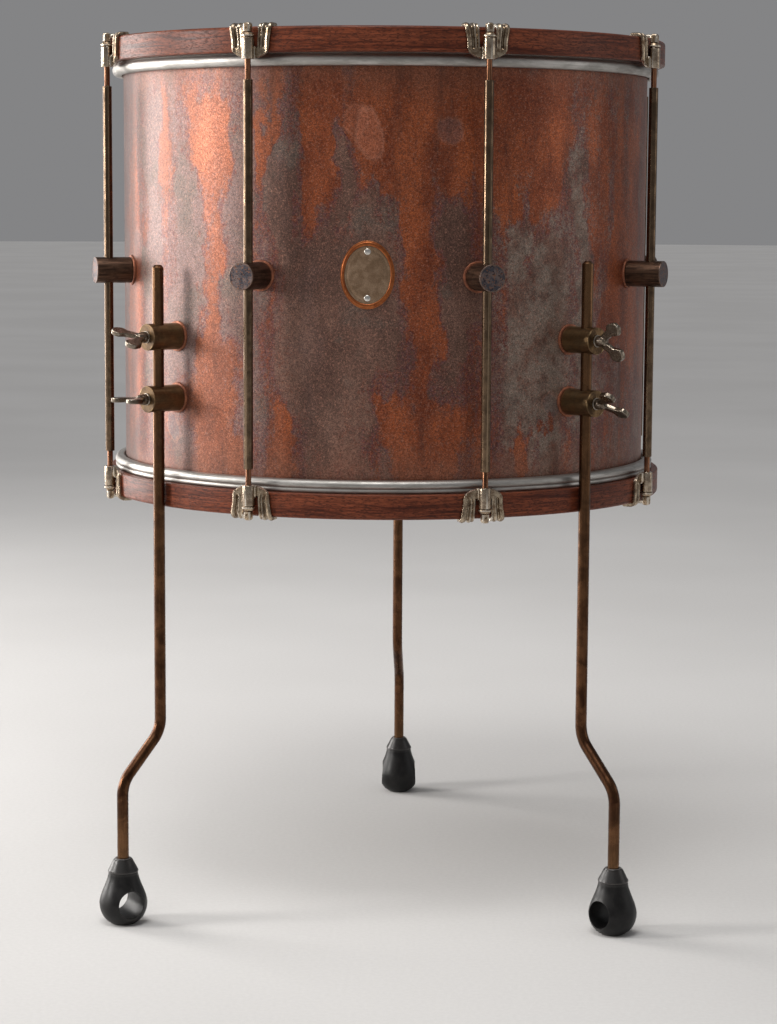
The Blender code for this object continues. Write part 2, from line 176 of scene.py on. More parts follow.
def circle(count, first=0.0):
    """Angles evenly round a circle."""
    return [2.0 * pi * (i + first) / count for i in range(count)]


def spread(values_from, values_to, count):
    """Evenly spaced numbers, both ends included."""
    return [values_from + (values_to - values_from) * k / count for k in range(count + 1)]


def arc(x, y, across, up, start, end, steps):
    """Points of an oval arc about (x, y), from one angle to another in degrees."""
    return [(x + across * cos(a), y + up * sin(a))
            for a in map(radians, spread(start, end, steps))]


def mm(*points):
    """The same points in metres."""
    return [tuple(value * MM for value in point) for point in points]


def band(bm, lower, upper):
    """Faces between two rings of vertices; a ring of one vertex is a tip."""
    count = max(len(lower), len(upper))
    for i in range(count):
        j = (i + 1) % count
        if len(lower) == 1:
            bm.faces.new((lower[0], upper[j], upper[i]))
        elif len(upper) == 1:
            bm.faces.new((lower[i], lower[j], upper[0]))
        else:
            bm.faces.new((lower[i], lower[j], upper[j], upper[i]))


def lathe(outline, segments, rise=None):
    """Body turned about Z from a closed outline of (radius, height); it may start and end on the axis.
    rise(angle, radius, height) moves a point outward."""
    bm = bmesh.new()
    rings = []
    for r, z in outline:
        if r < 1e-7:
            rings.append([bm.verts.new((0.0, 0.0, z))])
            continue
        ring = []
        for a in circle(segments):
            out = r + (rise(a, r, z) if rise else 0.0)
            ring.append(bm.verts.new((out * cos(a), out * sin(a), z)))
        rings.append(ring)
    for lower, upper in zip(rings, rings[1:]):
        band(bm, lower, upper)
    if len(rings[0]) > 1:
        band(bm, rings[-1], rings[0])
    return close_up(bm)


def loft(rings):
    """Closed body through equal rings of points, capped at both ends."""
    bm = bmesh.new()
    made = [[bm.verts.new(p) for p in ring] for ring in rings]
    for lower, upper in zip(made, made[1:]):
        band(bm, lower, upper)
    bm.faces.new(list(reversed(made[0])))
    bm.faces.new(made[-1])
    return close_up(bm)


def rod(radius, z0, z1, segments=32):
    return lathe([(0.0, z0), (radius, z0), (radius, z1), (0.0, z1)], segments)


def moved(mesh, matrix):
    mesh.transform(matrix)
    if matrix.determinant() < 0.0:
        mesh.flip_normals()
    return mesh


def placed(name, data):
    """A new object in the scene."""
    obj = bpy.data.objects.new(name, data)
    bpy.context.scene.collection.objects.link(obj)
    return obj


def evaluated(mesh, *modifiers):
    """The mesh after these modifiers, each a (kind, settings) pair."""
    obj = placed("work", mesh)
    for kind, settings in modifiers:
        modifier = obj.modifiers.new(kind, kind)
        for key, value in settings.items():
            setattr(modifier, key, value)
    graph = bpy.context.evaluated_depsgraph_get()
    out = bpy.data.meshes.new_from_object(obj.evaluated_get(graph))
    bpy.data.objects.remove(obj)
    return out


def boolean(mesh, other, operation):
    tool = placed("tool", other)
    out = evaluated(mesh, ("BOOLEAN", {"operation": operation, "solver": "EXACT", "object": tool}))
    bpy.data.objects.remove(tool)
    return out


def union(mesh, other):
    return boolean(mesh, other, "UNION")


def cut(mesh, other):
    return boolean(mesh, other, "DIFFERENCE")


def joined(*meshes):
    """One mesh that holds several closed bodies."""
    bm = bmesh.new()
    for mesh in meshes:
        bm.from_mesh(mesh)
    return close_up(bm)


def upside_down(mesh):
    """The same piece for the lower end of the drum, mirrored about the middle of the shell."""
    return moved(mesh.copy(), Matrix.Scale(-1.0, 4, (0.0, 0.0, 1.0)))


def piece(name, mesh, material, body, nodes, slot, matrix, sharp=38.0):
    """One visible piece: a finished mesh on its body, standing for its CAD nodes."""
    if not mesh.materials:
        mesh.materials.append(material)
        mesh.shade_smooth()
        mesh.set_sharp_from_angle(angle=radians(sharp))
    obj = placed(name, mesh)
    obj.matrix_world = matrix
    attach(obj, body)
    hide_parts(*nodes)


# ---- material tools ----------------------------------------------------------------------------
class Paint:
    """A material's node tree in short calls; each call gives back an output socket."""

    def __init__(self, name):
        self.material = bpy.data.materials.new(name)
        self.material.use_nodes = True
        self.nodes = self.material.node_tree.nodes
        self.links = self.material.node_tree.links
        self.surface = self.nodes["Principled BSDF"]

    def node(self, kind, inputs, **settings):
        made = self.nodes.new(kind)
        for key, value in settings.items():
            setattr(made, key, value)
        for key, value in inputs.items():
            self.plug(made.inputs[key], value)
        return made

    def plug(self, socket, value):
        if isinstance(value, bpy.types.NodeSocket):
            self.links.new(value, socket)
        elif isinstance(value, tuple) and len(value) == 3 and socket.type == "RGBA":
            socket.default_value = (*value, 1.0)
        else:
            socket.default_value = value

    def math(self, operation, a, b=0.0):
        return self.node("ShaderNodeMath", {0: a, 1: b}, operation=operation).outputs[0]

    def add(self, *values):
        total = values[0]
        for value in values[1:]:
            total = self.math("ADD", total, value)
        return total

    def times(self, a, b):
        return self.math("MULTIPLY", a, b)

    def own(self):
        """The piece's own coordinates in metres."""
        return self.node("ShaderNodeTexCoord", {}).outputs["Object"]

    def shuffled(self):
        """The piece's own coordinates, moved by a different amount on every copy of the piece."""
        luck = self.node("ShaderNodeObjectInfo", {}).outputs["Random"]
        shift = self.node("ShaderNodeVectorMath", {0: (3.1, 1.7, 2.3), "Scale": luck}, operation="SCALE")
        return self.node("ShaderNodeVectorMath", {0: self.own(), 1: shift.outputs[0]}).outputs[0]

    def split(self, vector):
        return self.node("ShaderNodeSeparateXYZ", {0: vector}).outputs

    def join(self, x, y, z):
        return self.node("ShaderNodeCombineXYZ", {0: x, 1: y, 2: z}).outputs[0]

    def stretch(self, vector, x=1.0, y=1.0, z=1.0):
        return self.node("ShaderNodeVectorMath", {0: vector, 1: (x, y, z)}, operation="MULTIPLY").outputs[0]

    def length(self, vector):
        return self.node("ShaderNodeVectorMath", {0: vector}, operation="LENGTH").outputs["Value"]

    def around(self, vector, radius):
        """Distance round the drum's axis from its front, measured at this radius."""
        x, y = self.split(vector)[:2]
        return self.times(self.math("ARCTAN2", x, self.times(y, -1.0)), radius)

    def unrolled(self, vector, radius):
        """Distance round the axis, distance from it and height, and the three as one vector."""
        parts = self.around(vector, radius), self.length(self.stretch(vector, z=0.0)), self.split(vector)[2]
        return *parts, self.join(*parts)

    def noise(self, vector, scale, detail=3.0, roughness=0.5, distortion=0.0):
        inputs = {"Vector": vector, "Scale": scale, "Detail": detail, "Roughness": roughness,
                  "Distortion": distortion}
        return self.node("ShaderNodeTexNoise", inputs).outputs[0]

    def ramp(self, value, low, high, out_low=0.0, out_high=1.0):
        """Smooth step from out_low to out_high as value goes from low to high."""
        inputs = {"Value": value, "From Min": low, "From Max": high, "To Min": out_low, "To Max": out_high}
        return self.node("ShaderNodeMapRange", inputs, interpolation_type="SMOOTHSTEP").outputs[0]

    def swing(self, value, reach, low=0.3):
        """The value as a number between minus and plus this reach."""
        return self.ramp(value, low, 1.0 - low, -reach, reach)

    def spots(self, vector, scale, low, high, detail=2.0, roughness=0.6, distortion=0.0):
        """Noise that rises from 0 to 1 between two of its levels."""
        return self.ramp(self.noise(vector, scale, detail, roughness, distortion), low, high)

    def mix(self, factor, a, b, blend="MIX"):
        return self.node("ShaderNodeMix", {0: factor, 6: a, 7: b}, data_type="RGBA",
                         blend_type=blend).outputs[2]

    def over(self, colour, mask, share, tint):
        """The colour under a tint that covers it by this share where the mask is 1."""
        return self.mix(self.times(mask, share), colour, tint)

    def shade(self, colour, factor):
        """The colour multiplied by a number."""
        return self.mix(1.0, colour, self.join(factor, factor, factor), "MULTIPLY")

    def bump(self, height, distance, strength=1.0, normal=None):
        inputs = {"Height": height, "Distance": distance, "Strength": strength}
        if normal is not None:
            inputs["Normal"] = normal
        return self.node("ShaderNodeBump", inputs).outputs[0]

    def edges(self, low, high):
        """How far a point is on a convex edge, from the mesh's own curvature."""
        return self.ramp(self.node("ShaderNodeNewGeometry", {}).outputs["Pointiness"], low, high)

    def painted_crevice_shade(self, distance):
        """Painted shade: 1 in tight corners and recesses, 0 in the open, from ambient occlusion."""
        open_sky = self.node("ShaderNodeAmbientOcclusion", {"Distance": distance}, samples=8).outputs["AO"]
        return self.ramp(open_sky, 0.75, 0.25)

    def finish(self, colour, roughness, metallic, normal, **extra):
        """The finished material; extra names more inputs of the surface, with _ for a space."""
        inputs = {"Base Color": colour, "Roughness": roughness, "Metallic": metallic, "Normal": normal}
        for key, value in {**inputs, **extra}.items():
            self.plug(self.surface.inputs[key.replace("_", " ")], value)
        return self.material


def aged_metal(name, bright, dark, crevice_shade_colour, rough=(0.25, 0.5), grain=(1.0, 1.0, 1.0), scale=120.0,
               metallic=1.0, edge=None, pits=0.02, crevice_shade_reach=2.0 * MM):
    """Metal with cloudy tarnish between two colours, fine grain along one way, worn edges and painted shade
    in its corners and recesses.
    """
    p = Paint(name)
    where = p.shuffled()
    along = p.stretch(where, *grain)
    clouds = p.noise(where, scale, 4.0, 0.6, 0.4)
    streaks = p.noise(along, 5.0 * scale, 3.0, 0.6)
    tarnish = p.ramp(p.add(clouds, p.times(streaks, 0.45)), 0.52, 0.92)
    colour = p.mix(tarnish, bright, dark)
    if edge:
        colour = p.over(colour, p.edges(0.52, 0.60), 0.8, edge)
    # painted shade: corners and recesses darkened towards the crevice shade colour
    colour = p.over(colour, p.painted_crevice_shade(crevice_shade_reach), 0.85, crevice_shade_colour)
    fine = p.noise(along, 22.0 * scale, 2.0, 0.6)
    colour = p.shade(colour, p.ramp(fine, 0.2, 0.8, 0.82, 1.12))
    roughness = p.ramp(p.add(p.times(tarnish, 0.7), p.times(fine, 0.3)), 0.0, 1.0, *rough)
    normal = p.bump(p.add(p.times(streaks, 0.5), p.times(fine, 0.5)), pits * MM)
    return p.finish(colour, roughness, metallic, normal)


# ---- materials ---------------------------------------------------------------------------------
# Patches of the shell's patina: turn from the front and half width in degrees, height above the
# middle and half height in millimetres, and strength: above 0 bare orange copper, below 0 grey.
PATCHES = (
    (-66.0, 0.0, 6.0, 165.0, 1.00), (-55.3, 0.0, 3.4, 132.0, -1.10), (-49.0, 108.0, 2.3, 58.0, 0.85),
    (-41.0, 30.0, 4.0, 88.0, -1.75), (-36.6, 122.0, 6.4, 44.0, 0.95), (-33.6, 40.0, 3.8, 100.0, 0.90),
    (-46.0, -80.0, 3.0, 60.0, -0.80), (-34.5, -112.0, 7.6, 78.0, 1.05), (-26.5, 0.0, 4.5, 160.0, -0.90),
    (-29.0, 140.0, 3.2, 34.0, 0.40), (-21.0, 100.0, 1.9, 50.0, 0.90), (-17.8, 55.0, 2.1, 66.0, -0.90),
    (-11.8, 132.0, 6.0, 44.0, 1.15), (-11.5, 68.0, 2.7, 46.0, 1.05), (-6.0, 88.0, 1.9, 42.0, -0.85),
    (-9.0, -60.0, 10.5, 92.0, -0.85), (-18.0, -122.0, 2.3, 44.0, 0.90), (5.5, 124.0, 9.6, 58.0, 1.10),
    (1.0, 36.0, 4.2, 34.0, -1.00), (0.0, -30.0, 5.4, 48.0, -0.75), (10.5, 34.0, 3.9, 46.0, 1.10),
    (11.6, -52.0, 2.9, 48.0, 1.00), (11.2, -132.0, 8.4, 40.0, 1.05), (2.8, -126.0, 2.6, 30.0, 0.75),
    (19.3, -18.0, 4.0, 70.0, -1.00), (19.5, 122.0, 4.2, 60.0, 1.00), (27.5, 118.0, 4.4, 62.0, 1.10),
    (38.5, 116.0, 8.0, 62.0, 1.10), (32.3, 52.0, 1.9, 50.0, -1.10), (37.0, 56.0, 9.0, 34.0, 0.45),
    (35.5, -62.0, 9.0, 98.0, -0.95), (33.3, -128.0, 2.4, 22.0, 1.60), (39.4, -113.0, 2.0, 10.0, 1.30),
    (48.4, -5.0, 2.3, 134.0, -0.75), (54.0, 60.0, 3.6, 90.0, 0.45), (60.0, -26.0, 3.8, 40.0, 0.70),
    (54.5, -60.0, 2.2, 90.0, -0.40), (67.5, 0.0, 6.5, 165.0, 0.45), (122.0, 40.0, 14.0, 110.0, 0.70),
    (168.0, -50.0, 16.0, 90.0, -0.60), (205.0, 70.0, 11.0, 90.0, 0.70), (-112.0, -40.0, 12.0, 110.0, -0.60),
)
# Smooth marks left by drops of acid: turn from the front and half width in degrees, height above the
# middle and half height in millimetres, and how much paler than the copper around it each one is.
DROPS = ((-0.6, 112.0, 2.9, 19.0, 0.60), (-2.8, 122.0, 2.2, 12.0, 0.35), (-62.5, 20.0, 2.6, 13.0, -0.5),
         (-46.5, -130.0, 2.2, 11.0, -0.6), (16.5, 118.0, 2.6, 10.0, -0.4), (40.0, -108.0, 3.4, 9.0, -0.4))


def oval_reach(p, flat, angle, level, half_width, half_height):
    """Distance from an oval's middle on the unrolled shell, 1 on its outline."""
    off = p.node("ShaderNodeVectorMath", {0: flat, 1: (-angle, -level, 0.0)})
    return p.length(p.stretch(off.outputs[0], 1.0 / half_width, 1.0 / half_height, 0.0))


def copper_patina():
    """Torch-coloured copper sheet: bare orange, grey oxide and purple fringes with speckled edges."""
    p = Paint("copper_patina")
    where = p.own()
    turned = p.around(where, degrees(1.0))
    turned = p.add(turned, p.times(p.math("LESS_THAN", turned, -135.0), 360.0))
    level = p.times(p.split(where)[2], 1.0 / MM)
    drift = p.split(p.node("ShaderNodeTexNoise", {"Vector": p.stretch(where, z=0.6), "Scale": 26.0,
                                                  "Detail": 4.0, "Roughness": 0.62}).outputs["Color"])
    flat = p.join(p.add(turned, p.swing(drift[0], 3.4, 0.25)),
                  p.add(level, p.swing(drift[1], 30.0, 0.25)), 0.0)
    total = p.swing(p.noise(p.stretch(where, z=0.24), 13.0, 3.0, 0.55, 0.3), 0.45)
    for *oval, strength in PATCHES:
        total = p.add(total, p.ramp(oval_reach(p, flat, *oval), 1.40, 0.55, 0.0, strength))
    total = p.add(total, p.swing(p.noise(p.stretch(where, z=0.06), 95.0, 3.0, 0.6), 0.26))
    grains = p.noise(where, 690.0, 1.5, 0.6, 1.3)
    coarse = p.noise(p.stretch(where, z=0.8), 210.0, 3.0, 0.6, 0.4)
    bare = p.ramp(p.add(total, p.swing(grains, 0.50, 0.34), p.swing(coarse, 0.34)), -0.52, 0.56)

    clouds = p.noise(p.stretch(where, z=0.45), 34.0, 4.0, 0.6)
    orange = p.mix(p.ramp(clouds, 0.35, 0.68), (0.185, 0.040, 0.013), (0.375, 0.094, 0.030))
    orange = p.mix(p.ramp(p.add(total, p.times(coarse, 0.5)), 0.15, 0.75), (0.185, 0.050, 0.028), orange)
    # painted sheen: the left side of the shell, towards the key lights, is paler and pinker
    left_side_sheen = p.times(p.ramp(p.add(turned, p.swing(drift[2], 6.0)), -9.0, -34.0),
                   p.ramp(turned, -63.0, -56.0, 0.10, 1.0))
    green = p.times(p.ramp(p.add(turned, p.swing(drift[2], 5.0)), 24.0, 32.0),
                    p.spots(where, 44.0, 0.36, 0.58, 3.0))
    grey = p.mix(p.ramp(clouds, 0.36, 0.66), (0.095, 0.047, 0.033), (0.178, 0.097, 0.070))
    # painted sheen paling the grey oxide on the left side
    grey = p.over(grey, left_side_sheen, 0.80, (0.225, 0.150, 0.138))
    grey = p.over(grey, p.spots(where, 21.0, 0.50, 0.66, 3.0), 0.7, (0.118, 0.096, 0.078))
    grey = p.over(grey, green, 0.80, (0.255, 0.205, 0.165))
    # painted sheen paling the orange copper on the left side
    orange = p.over(orange, left_side_sheen, 0.50, (0.225, 0.100, 0.066))
    colour = p.mix(bare, grey, orange)
    fringe = p.times(p.ramp(total, -0.55, -0.10), p.ramp(total, 0.60, 0.10))
    violet = p.times(fringe, p.spots(where, 560.0, 0.42, 0.60))
    colour = p.over(colour, violet, 0.6, (0.110, 0.044, 0.056))
    colour = p.over(colour, p.spots(where, 900.0, 0.50, 0.64, distortion=1.0), 0.55, (0.070, 0.026, 0.022))
    pale_dots = p.spots(p.stretch(where, z=-1.0), 760.0, 0.52, 0.66, distortion=1.0)
    colour = p.over(colour, pale_dots, 0.42, (0.42, 0.200, 0.135))
    hazy = p.ramp(p.add(p.math("ABSOLUTE", level), p.swing(clouds, 14.0)), 132.0, 172.0)
    colour = p.over(colour, hazy, 0.6, (0.205, 0.088, 0.056))

    plain = p.join(p.add(turned, p.swing(drift[2], 1.3)), p.add(level, p.swing(drift[0], 5.0)), 0.0)
    for *oval, paler in DROPS:
        away = oval_reach(p, plain, *oval)
        tint = (0.50, 0.180, 0.105) if paler > 0.0 else (0.165, 0.145, 0.150)
        colour = p.over(colour, p.ramp(away, 1.05, 0.86), 0.62 * abs(paler), tint)
        outline = p.times(p.ramp(away, 1.16, 1.02), p.ramp(away, 0.80, 0.94))
        colour = p.over(colour, outline, 0.40 * abs(paler), (0.52, 0.24, 0.16))
    peel = p.ramp(p.noise(where, 620.0, 1.0, 0.5, 1.6), 0.34, 0.66, 0.66, 1.34)
    colour = p.shade(colour, p.times(peel, p.ramp(p.noise(where, 2300.0, 2.0, 0.6), 0.3, 0.7, 0.8, 1.2)))
    # painted shade: the far left of the shell, turned past 61 degrees, is darkened to 0.45 of its colour
    outer = p.times(p.ramp(turned, -61.0, -66.0), p.ramp(turned, -150.0, -120.0))
    colour = p.shade(colour, p.ramp(outer, 0.0, 1.0, 1.0, 0.45))
    stain = p.spots(p.stretch(where, z=0.1), 60.0, 0.56, 0.74, 4.0, 0.65)
    colour = p.over(colour, stain, 0.42, (0.060, 0.030, 0.024))

    rough = p.add(p.ramp(bare, 0.0, 1.0, 0.47, 0.42), p.ramp(grains, 0.3, 0.7, -0.05, 0.07))
    waves = p.bump(p.noise(p.stretch(where, z=0.22), 16.0, 2.0, 0.5), 0.7 * MM)
    normal = p.bump(p.add(p.times(grains, 0.6), p.times(coarse, 0.4)), 0.05 * MM, 1.0, waves)
    return p.finish(colour, rough, p.ramp(bare, 0.0, 1.0, 0.40, 0.58), normal)


def mahogany():
    """Bent mahogany ply: open pores and figure along the hoop, satin varnish over a red stain."""
    p = Paint("mahogany")
    along, reach, z, flat = p.unrolled(p.own(), HOOP_OUT_R)
    bend = p.noise(p.stretch(flat, 9.0, 20.0, 60.0), 1.0, 2.0, 0.5)
    lines = p.join(p.times(along, 14.0), p.times(reach, 700.0), p.add(p.times(z, 620.0), p.times(bend, 9.0)))
    figure = p.noise(lines, 1.0, 4.0, 0.62, 0.35)
    bands = p.noise(p.stretch(flat, 7.0, 90.0, 110.0), 1.0, 3.0, 0.55, 0.2)
    flecks = p.noise(p.stretch(flat, 120.0, 620.0, 620.0), 1.0, 3.0, 0.6)
    pores = p.spots(p.stretch(flat, 330.0, 1300.0, 1300.0), 1.0, 0.53, 0.61, roughness=0.55)
    from_seam = p.add(p.math("ABSOLUTE", along), p.times(z, 1.4), -0.995 * pi * HOOP_OUT_R)
    seam = p.ramp(p.math("ABSOLUTE", from_seam), 0.9 * MM, 0.2 * MM)
    colour = p.mix(p.ramp(figure, 0.34, 0.66), (0.055, 0.011, 0.005), (0.185, 0.045, 0.019))
    colour = p.over(colour, p.ramp(bands, 0.4, 0.7), 0.40, (0.250, 0.070, 0.032))
    colour = p.shade(colour, p.ramp(flecks, 0.36, 0.64, 0.76, 1.24))
    colour = p.over(colour, pores, 0.62, (0.026, 0.007, 0.004))
    colour = p.over(colour, p.edges(0.51, 0.545), 0.30, (0.31, 0.105, 0.062))
    colour = p.over(colour, seam, 0.8, (0.03, 0.009, 0.006))
    rough = p.ramp(p.add(p.times(figure, 0.5), p.times(pores, 0.5)), 0.1, 0.9, 0.36, 0.55)
    normal = p.bump(p.add(p.times(figure, 0.4), p.times(pores, -0.6), p.times(seam, -1.5)), 0.10 * MM)
    return p.finish(colour, rough, 0.0, normal, Coat_Weight=0.12, Coat_Roughness=0.38,
                    Specular_IOR_Level=0.14)


def coated_film():
    """Thin white coating on the film, slightly cloudy and gritty."""
    p = Paint("coated_film")
    grit = p.noise(p.own(), 1500.0, 2.0, 0.6)
    clouds = p.spots(p.own(), 14.0, 0.35, 0.7, 4.0, 0.55)
    colour = p.mix(clouds, (0.66, 0.65, 0.61), (0.74, 0.73, 0.70))
    colour = p.shade(colour, p.ramp(grit, 0.25, 0.75, 0.93, 1.04))
    return p.finish(colour, p.ramp(grit, 0.3, 0.7, 0.5, 0.72), 0.0, p.bump(grit, 0.05 * MM))


def rim_aluminium():
    """Dull rolled aluminium: draw lines round the drum, grey bloom and a few dents of tarnish."""
    p = Paint("rim_aluminium")
    flat = p.unrolled(p.own(), RIM_OUT_R)[3]
    lines = p.noise(p.stretch(flat, 12.0, 2600.0, 2600.0), 1.0, 3.0, 0.6)
    bloom = p.noise(p.stretch(flat, 45.0, 200.0, 200.0), 1.0, 4.0, 0.62)
    colour = p.mix(p.ramp(bloom, 0.36, 0.66), (0.50, 0.48, 0.455), (0.36, 0.345, 0.32))
    colour = p.shade(colour, p.ramp(lines, 0.3, 0.7, 0.86, 1.06))
    colour = p.over(colour, p.spots(p.own(), 900.0, 0.64, 0.74), 0.5, (0.20, 0.17, 0.14))
    # painted shade: corners and recesses of the rim darkened
    colour = p.over(colour, p.painted_crevice_shade(2.5 * MM), 0.7, (0.10, 0.085, 0.07))
    rough = p.add(p.ramp(bloom, 0.3, 0.7, 0.40, 0.54), p.ramp(lines, 0.3, 0.7, -0.03, 0.05))
    return p.finish(colour, rough, 1.0, p.bump(lines, 0.02 * MM))


def post_bronze():
    """Dark bronze post: lengthwise brown streaks, mottled bluish face with a thin lighter rim."""
    p = Paint("post_bronze")
    where = p.shuffled()
    face = p.ramp(p.split(p.own())[1], -POST_FACE_R + 1.2 * MM, -POST_FACE_R + 0.3 * MM)
    reach = p.length(p.stretch(p.own(), y=0.0))
    streaks = p.noise(p.stretch(where, y=0.08), 520.0, 4.0, 0.65)
    clouds = p.noise(where, 170.0, 4.0, 0.65, 0.5)
    side = p.mix(p.ramp(streaks, 0.36, 0.66), (0.040, 0.021, 0.013), (0.135, 0.075, 0.047))
    side = p.over(side, p.ramp(clouds, 0.5, 0.7), 0.5, (0.022, 0.015, 0.013))
    mottled = p.mix(p.ramp(clouds, 0.38, 0.62), (0.062, 0.064, 0.078), (0.165, 0.125, 0.118))
    mottled = p.mix(p.spots(where, 520.0, 0.54, 0.62, 3.0), mottled, (0.235, 0.112, 0.070))
    mottled = p.mix(p.spots(where, 760.0, 0.54, 0.64, 3.0), mottled, (0.030, 0.025, 0.030))
    ring = p.times(p.ramp(reach, POST_R - 1.2 * MM, POST_R - 0.7 * MM), face)
    colour = p.over(p.mix(face, side, mottled), ring, 0.6, (0.20, 0.135, 0.10))
    # painted shade: corners and recesses darkened, such as where the tube enters the post
    colour = p.over(colour, p.painted_crevice_shade(2.0 * MM), 0.8, (0.012, 0.009, 0.008))
    normal = p.bump(p.add(streaks, clouds), 0.05 * MM)
    return p.finish(colour, p.ramp(clouds, 0.3, 0.7, 0.34, 0.52), 0.85, normal)


def key_rod_metal():
    """Worn nickel on the flange and key head, brown copper showing on the thin rod."""
    p = Paint("key_rod_metal")
    where = p.shuffled()
    z = p.math("ABSOLUTE", p.split(p.own())[2])
    head = p.ramp(z, BARREL_HIGH - 0.5 * MM, BARREL_HIGH)
    clouds = p.noise(where, 260.0, 4.0, 0.6, 0.3)
    streaks = p.spots(p.stretch(where, z=0.06), 900.0, 0.36, 0.66, 3.0)
    copper = p.mix(streaks, (0.115, 0.052, 0.030), (0.33, 0.155, 0.085))
    nickel = p.mix(p.ramp(clouds, 0.38, 0.66), (0.50, 0.385, 0.265), (0.20, 0.128, 0.080))
    nickel = p.over(nickel, p.edges(0.52, 0.58), 0.7, (0.74, 0.69, 0.60))
    # painted shade: corners and recesses of the key rod darkened
    colour = p.over(p.mix(head, copper, nickel), p.painted_crevice_shade(1.5 * MM), 0.85, (0.02, 0.012, 0.008))
    return p.finish(colour, p.ramp(clouds, 0.3, 0.7, 0.22, 0.42), 1.0, p.bump(clouds, 0.03 * MM))


def foot_rubber():
    """Black rubber with faint pull marks, rubbed edges and dust near the floor."""
    p = Paint("foot_rubber")
    where = p.shuffled()
    dust = p.noise(where, 90.0, 4.0, 0.65)
    skin = p.noise(where, 1900.0, 2.0, 0.6)
    colour = p.mix(p.ramp(dust, 0.4, 0.75), (0.0045, 0.0042, 0.0042), (0.013, 0.012, 0.0115))
    streaks = p.spots(p.stretch(where, z=0.08), 420.0, 0.55, 0.75, 3.0)
    colour = p.over(colour, streaks, 0.30, (0.028, 0.024, 0.022))
    colour = p.over(colour, p.edges(0.515, 0.56), 0.30, (0.060, 0.057, 0.054))
    low = p.ramp(p.split(p.own())[2], 4.0 * MM, 0.5 * MM)
    colour = p.over(colour, low, 0.4, (0.050, 0.044, 0.038))
    rough = p.ramp(dust, 0.3, 0.7, 0.34, 0.50)
    return p.finish(colour, rough, 0.0, p.bump(p.add(skin, dust), 0.03 * MM), Specular_IOR_Level=0.28)


def badge_plate_metal():
    """Etched, grey-brown oxidised inner plate of the badge, with a thin engraved line."""
    p = Paint("badge_plate_metal")
    clouds = p.noise(p.own(), 150.0, 4.0, 0.6, 0.4)
    grit = p.noise(p.own(), 1500.0, 2.0, 0.6)
    colour = p.mix(p.ramp(clouds, 0.36, 0.66), (0.270, 0.172, 0.104), (0.350, 0.238, 0.155))
    colour = p.shade(colour, p.ramp(grit, 0.25, 0.75, 0.75, 1.12))
    # painted shade: corners and recesses of the plate darkened
    colour = p.over(colour, p.painted_crevice_shade(1.2 * MM), 0.8, (0.035, 0.020, 0.013))
    return p.finish(colour, p.ramp(clouds, 0.3, 0.7, 0.36, 0.52), 0.9, p.bump(grit, 0.04 * MM))


def floor_paper():
    """Plain pale paper with a faint tooth."""
    p = Paint("floor_paper")
    fibre = p.noise(p.own(), 260.0, 3.0, 0.6)
    colour = p.mix(p.spots(p.own(), 1.3, 0.3, 0.7, 3.0, 0.5), (0.57, 0.56, 0.55), (0.61, 0.60, 0.59))
    colour = p.shade(colour, p.ramp(fibre, 0.25, 0.75, 0.97, 1.02))
    return p.finish(colour, 0.9, 0.0, p.bump(fibre, 0.1 * MM), Specular_IOR_Level=0.08)


COPPER = copper_patina()
WOOD = mahogany()
FILM = coated_film()
RIM = rim_aluminium()
POST = post_bronze()
# The third colour of each aged metal is the painted shade in its corners and recesses.
TUBE = aged_metal("tube_bronze", (0.155, 0.100, 0.062), (0.045, 0.028, 0.018), (0.010, 0.007, 0.005),
                  (0.22, 0.38), (1.0, 1.0, 0.03), 110.0, edge=(0.36, 0.26, 0.17))
GASKET = aged_metal("gasket_copper", (0.42, 0.150, 0.075), (0.20, 0.068, 0.038), (0.03, 0.012, 0.008),
                    (0.45, 0.65), scale=240.0, metallic=0.5)
NICKEL = aged_metal("claw_nickel", (0.50, 0.405, 0.295), (0.165, 0.108, 0.068), (0.014, 0.008, 0.005),
                    (0.16, 0.36), scale=190.0, edge=(0.80, 0.74, 0.65), pits=0.06, crevice_shade_reach=3.2 * MM)
KEY_ROD = key_rod_metal()
BRASS = aged_metal("bracket_brass", (0.195, 0.120, 0.060), (0.075, 0.046, 0.026), (0.012, 0.007, 0.004),
                   (0.28, 0.46), (1.0, 0.06, 1.0), 130.0, edge=(0.42, 0.30, 0.15))
WING = aged_metal("wing_nickel", (0.30, 0.255, 0.205), (0.13, 0.100, 0.074), (0.014, 0.010, 0.008),
                  (0.20, 0.38), scale=140.0, edge=(0.62, 0.57, 0.50))
LEG = aged_metal("leg_brass", (0.130, 0.060, 0.029), (0.042, 0.018, 0.010), (0.010, 0.006, 0.004),
                 (0.20, 0.38), (1.0, 1.0, 0.05), 70.0, edge=(0.34, 0.20, 0.10))
RUBBER = foot_rubber()
COLLAR = aged_metal("foot_collar", (0.022, 0.019, 0.0175), (0.008, 0.0075, 0.007), (0.003, 0.003, 0.003),
                    (0.28, 0.42), scale=120.0, metallic=0.2, edge=(0.14, 0.13, 0.125))
BADGE_RING = aged_metal("badge_surround", (0.46, 0.150, 0.050), (0.26, 0.075, 0.030),
                        (0.035, 0.013, 0.008), (0.30, 0.46), scale=160.0, edge=(0.58, 0.24, 0.10),
                        crevice_shade_reach=1.0 * MM)
BADGE_PLATE = badge_plate_metal()
RIVET = aged_metal("rivet_silver", (0.82, 0.80, 0.76), (0.60, 0.57, 0.52), (0.06, 0.045, 0.035),
                   (0.20, 0.34), scale=300.0, crevice_shade_reach=0.8 * MM)
SCREW = aged_metal("screw_steel", (0.36, 0.33, 0.30), (0.20, 0.18, 0.16), (0.03, 0.025, 0.02),
                   (0.28, 0.45), scale=200.0)


# ---- shell, badge, hoops and heads -------------------------------------------------------------
RING_SEG = 288


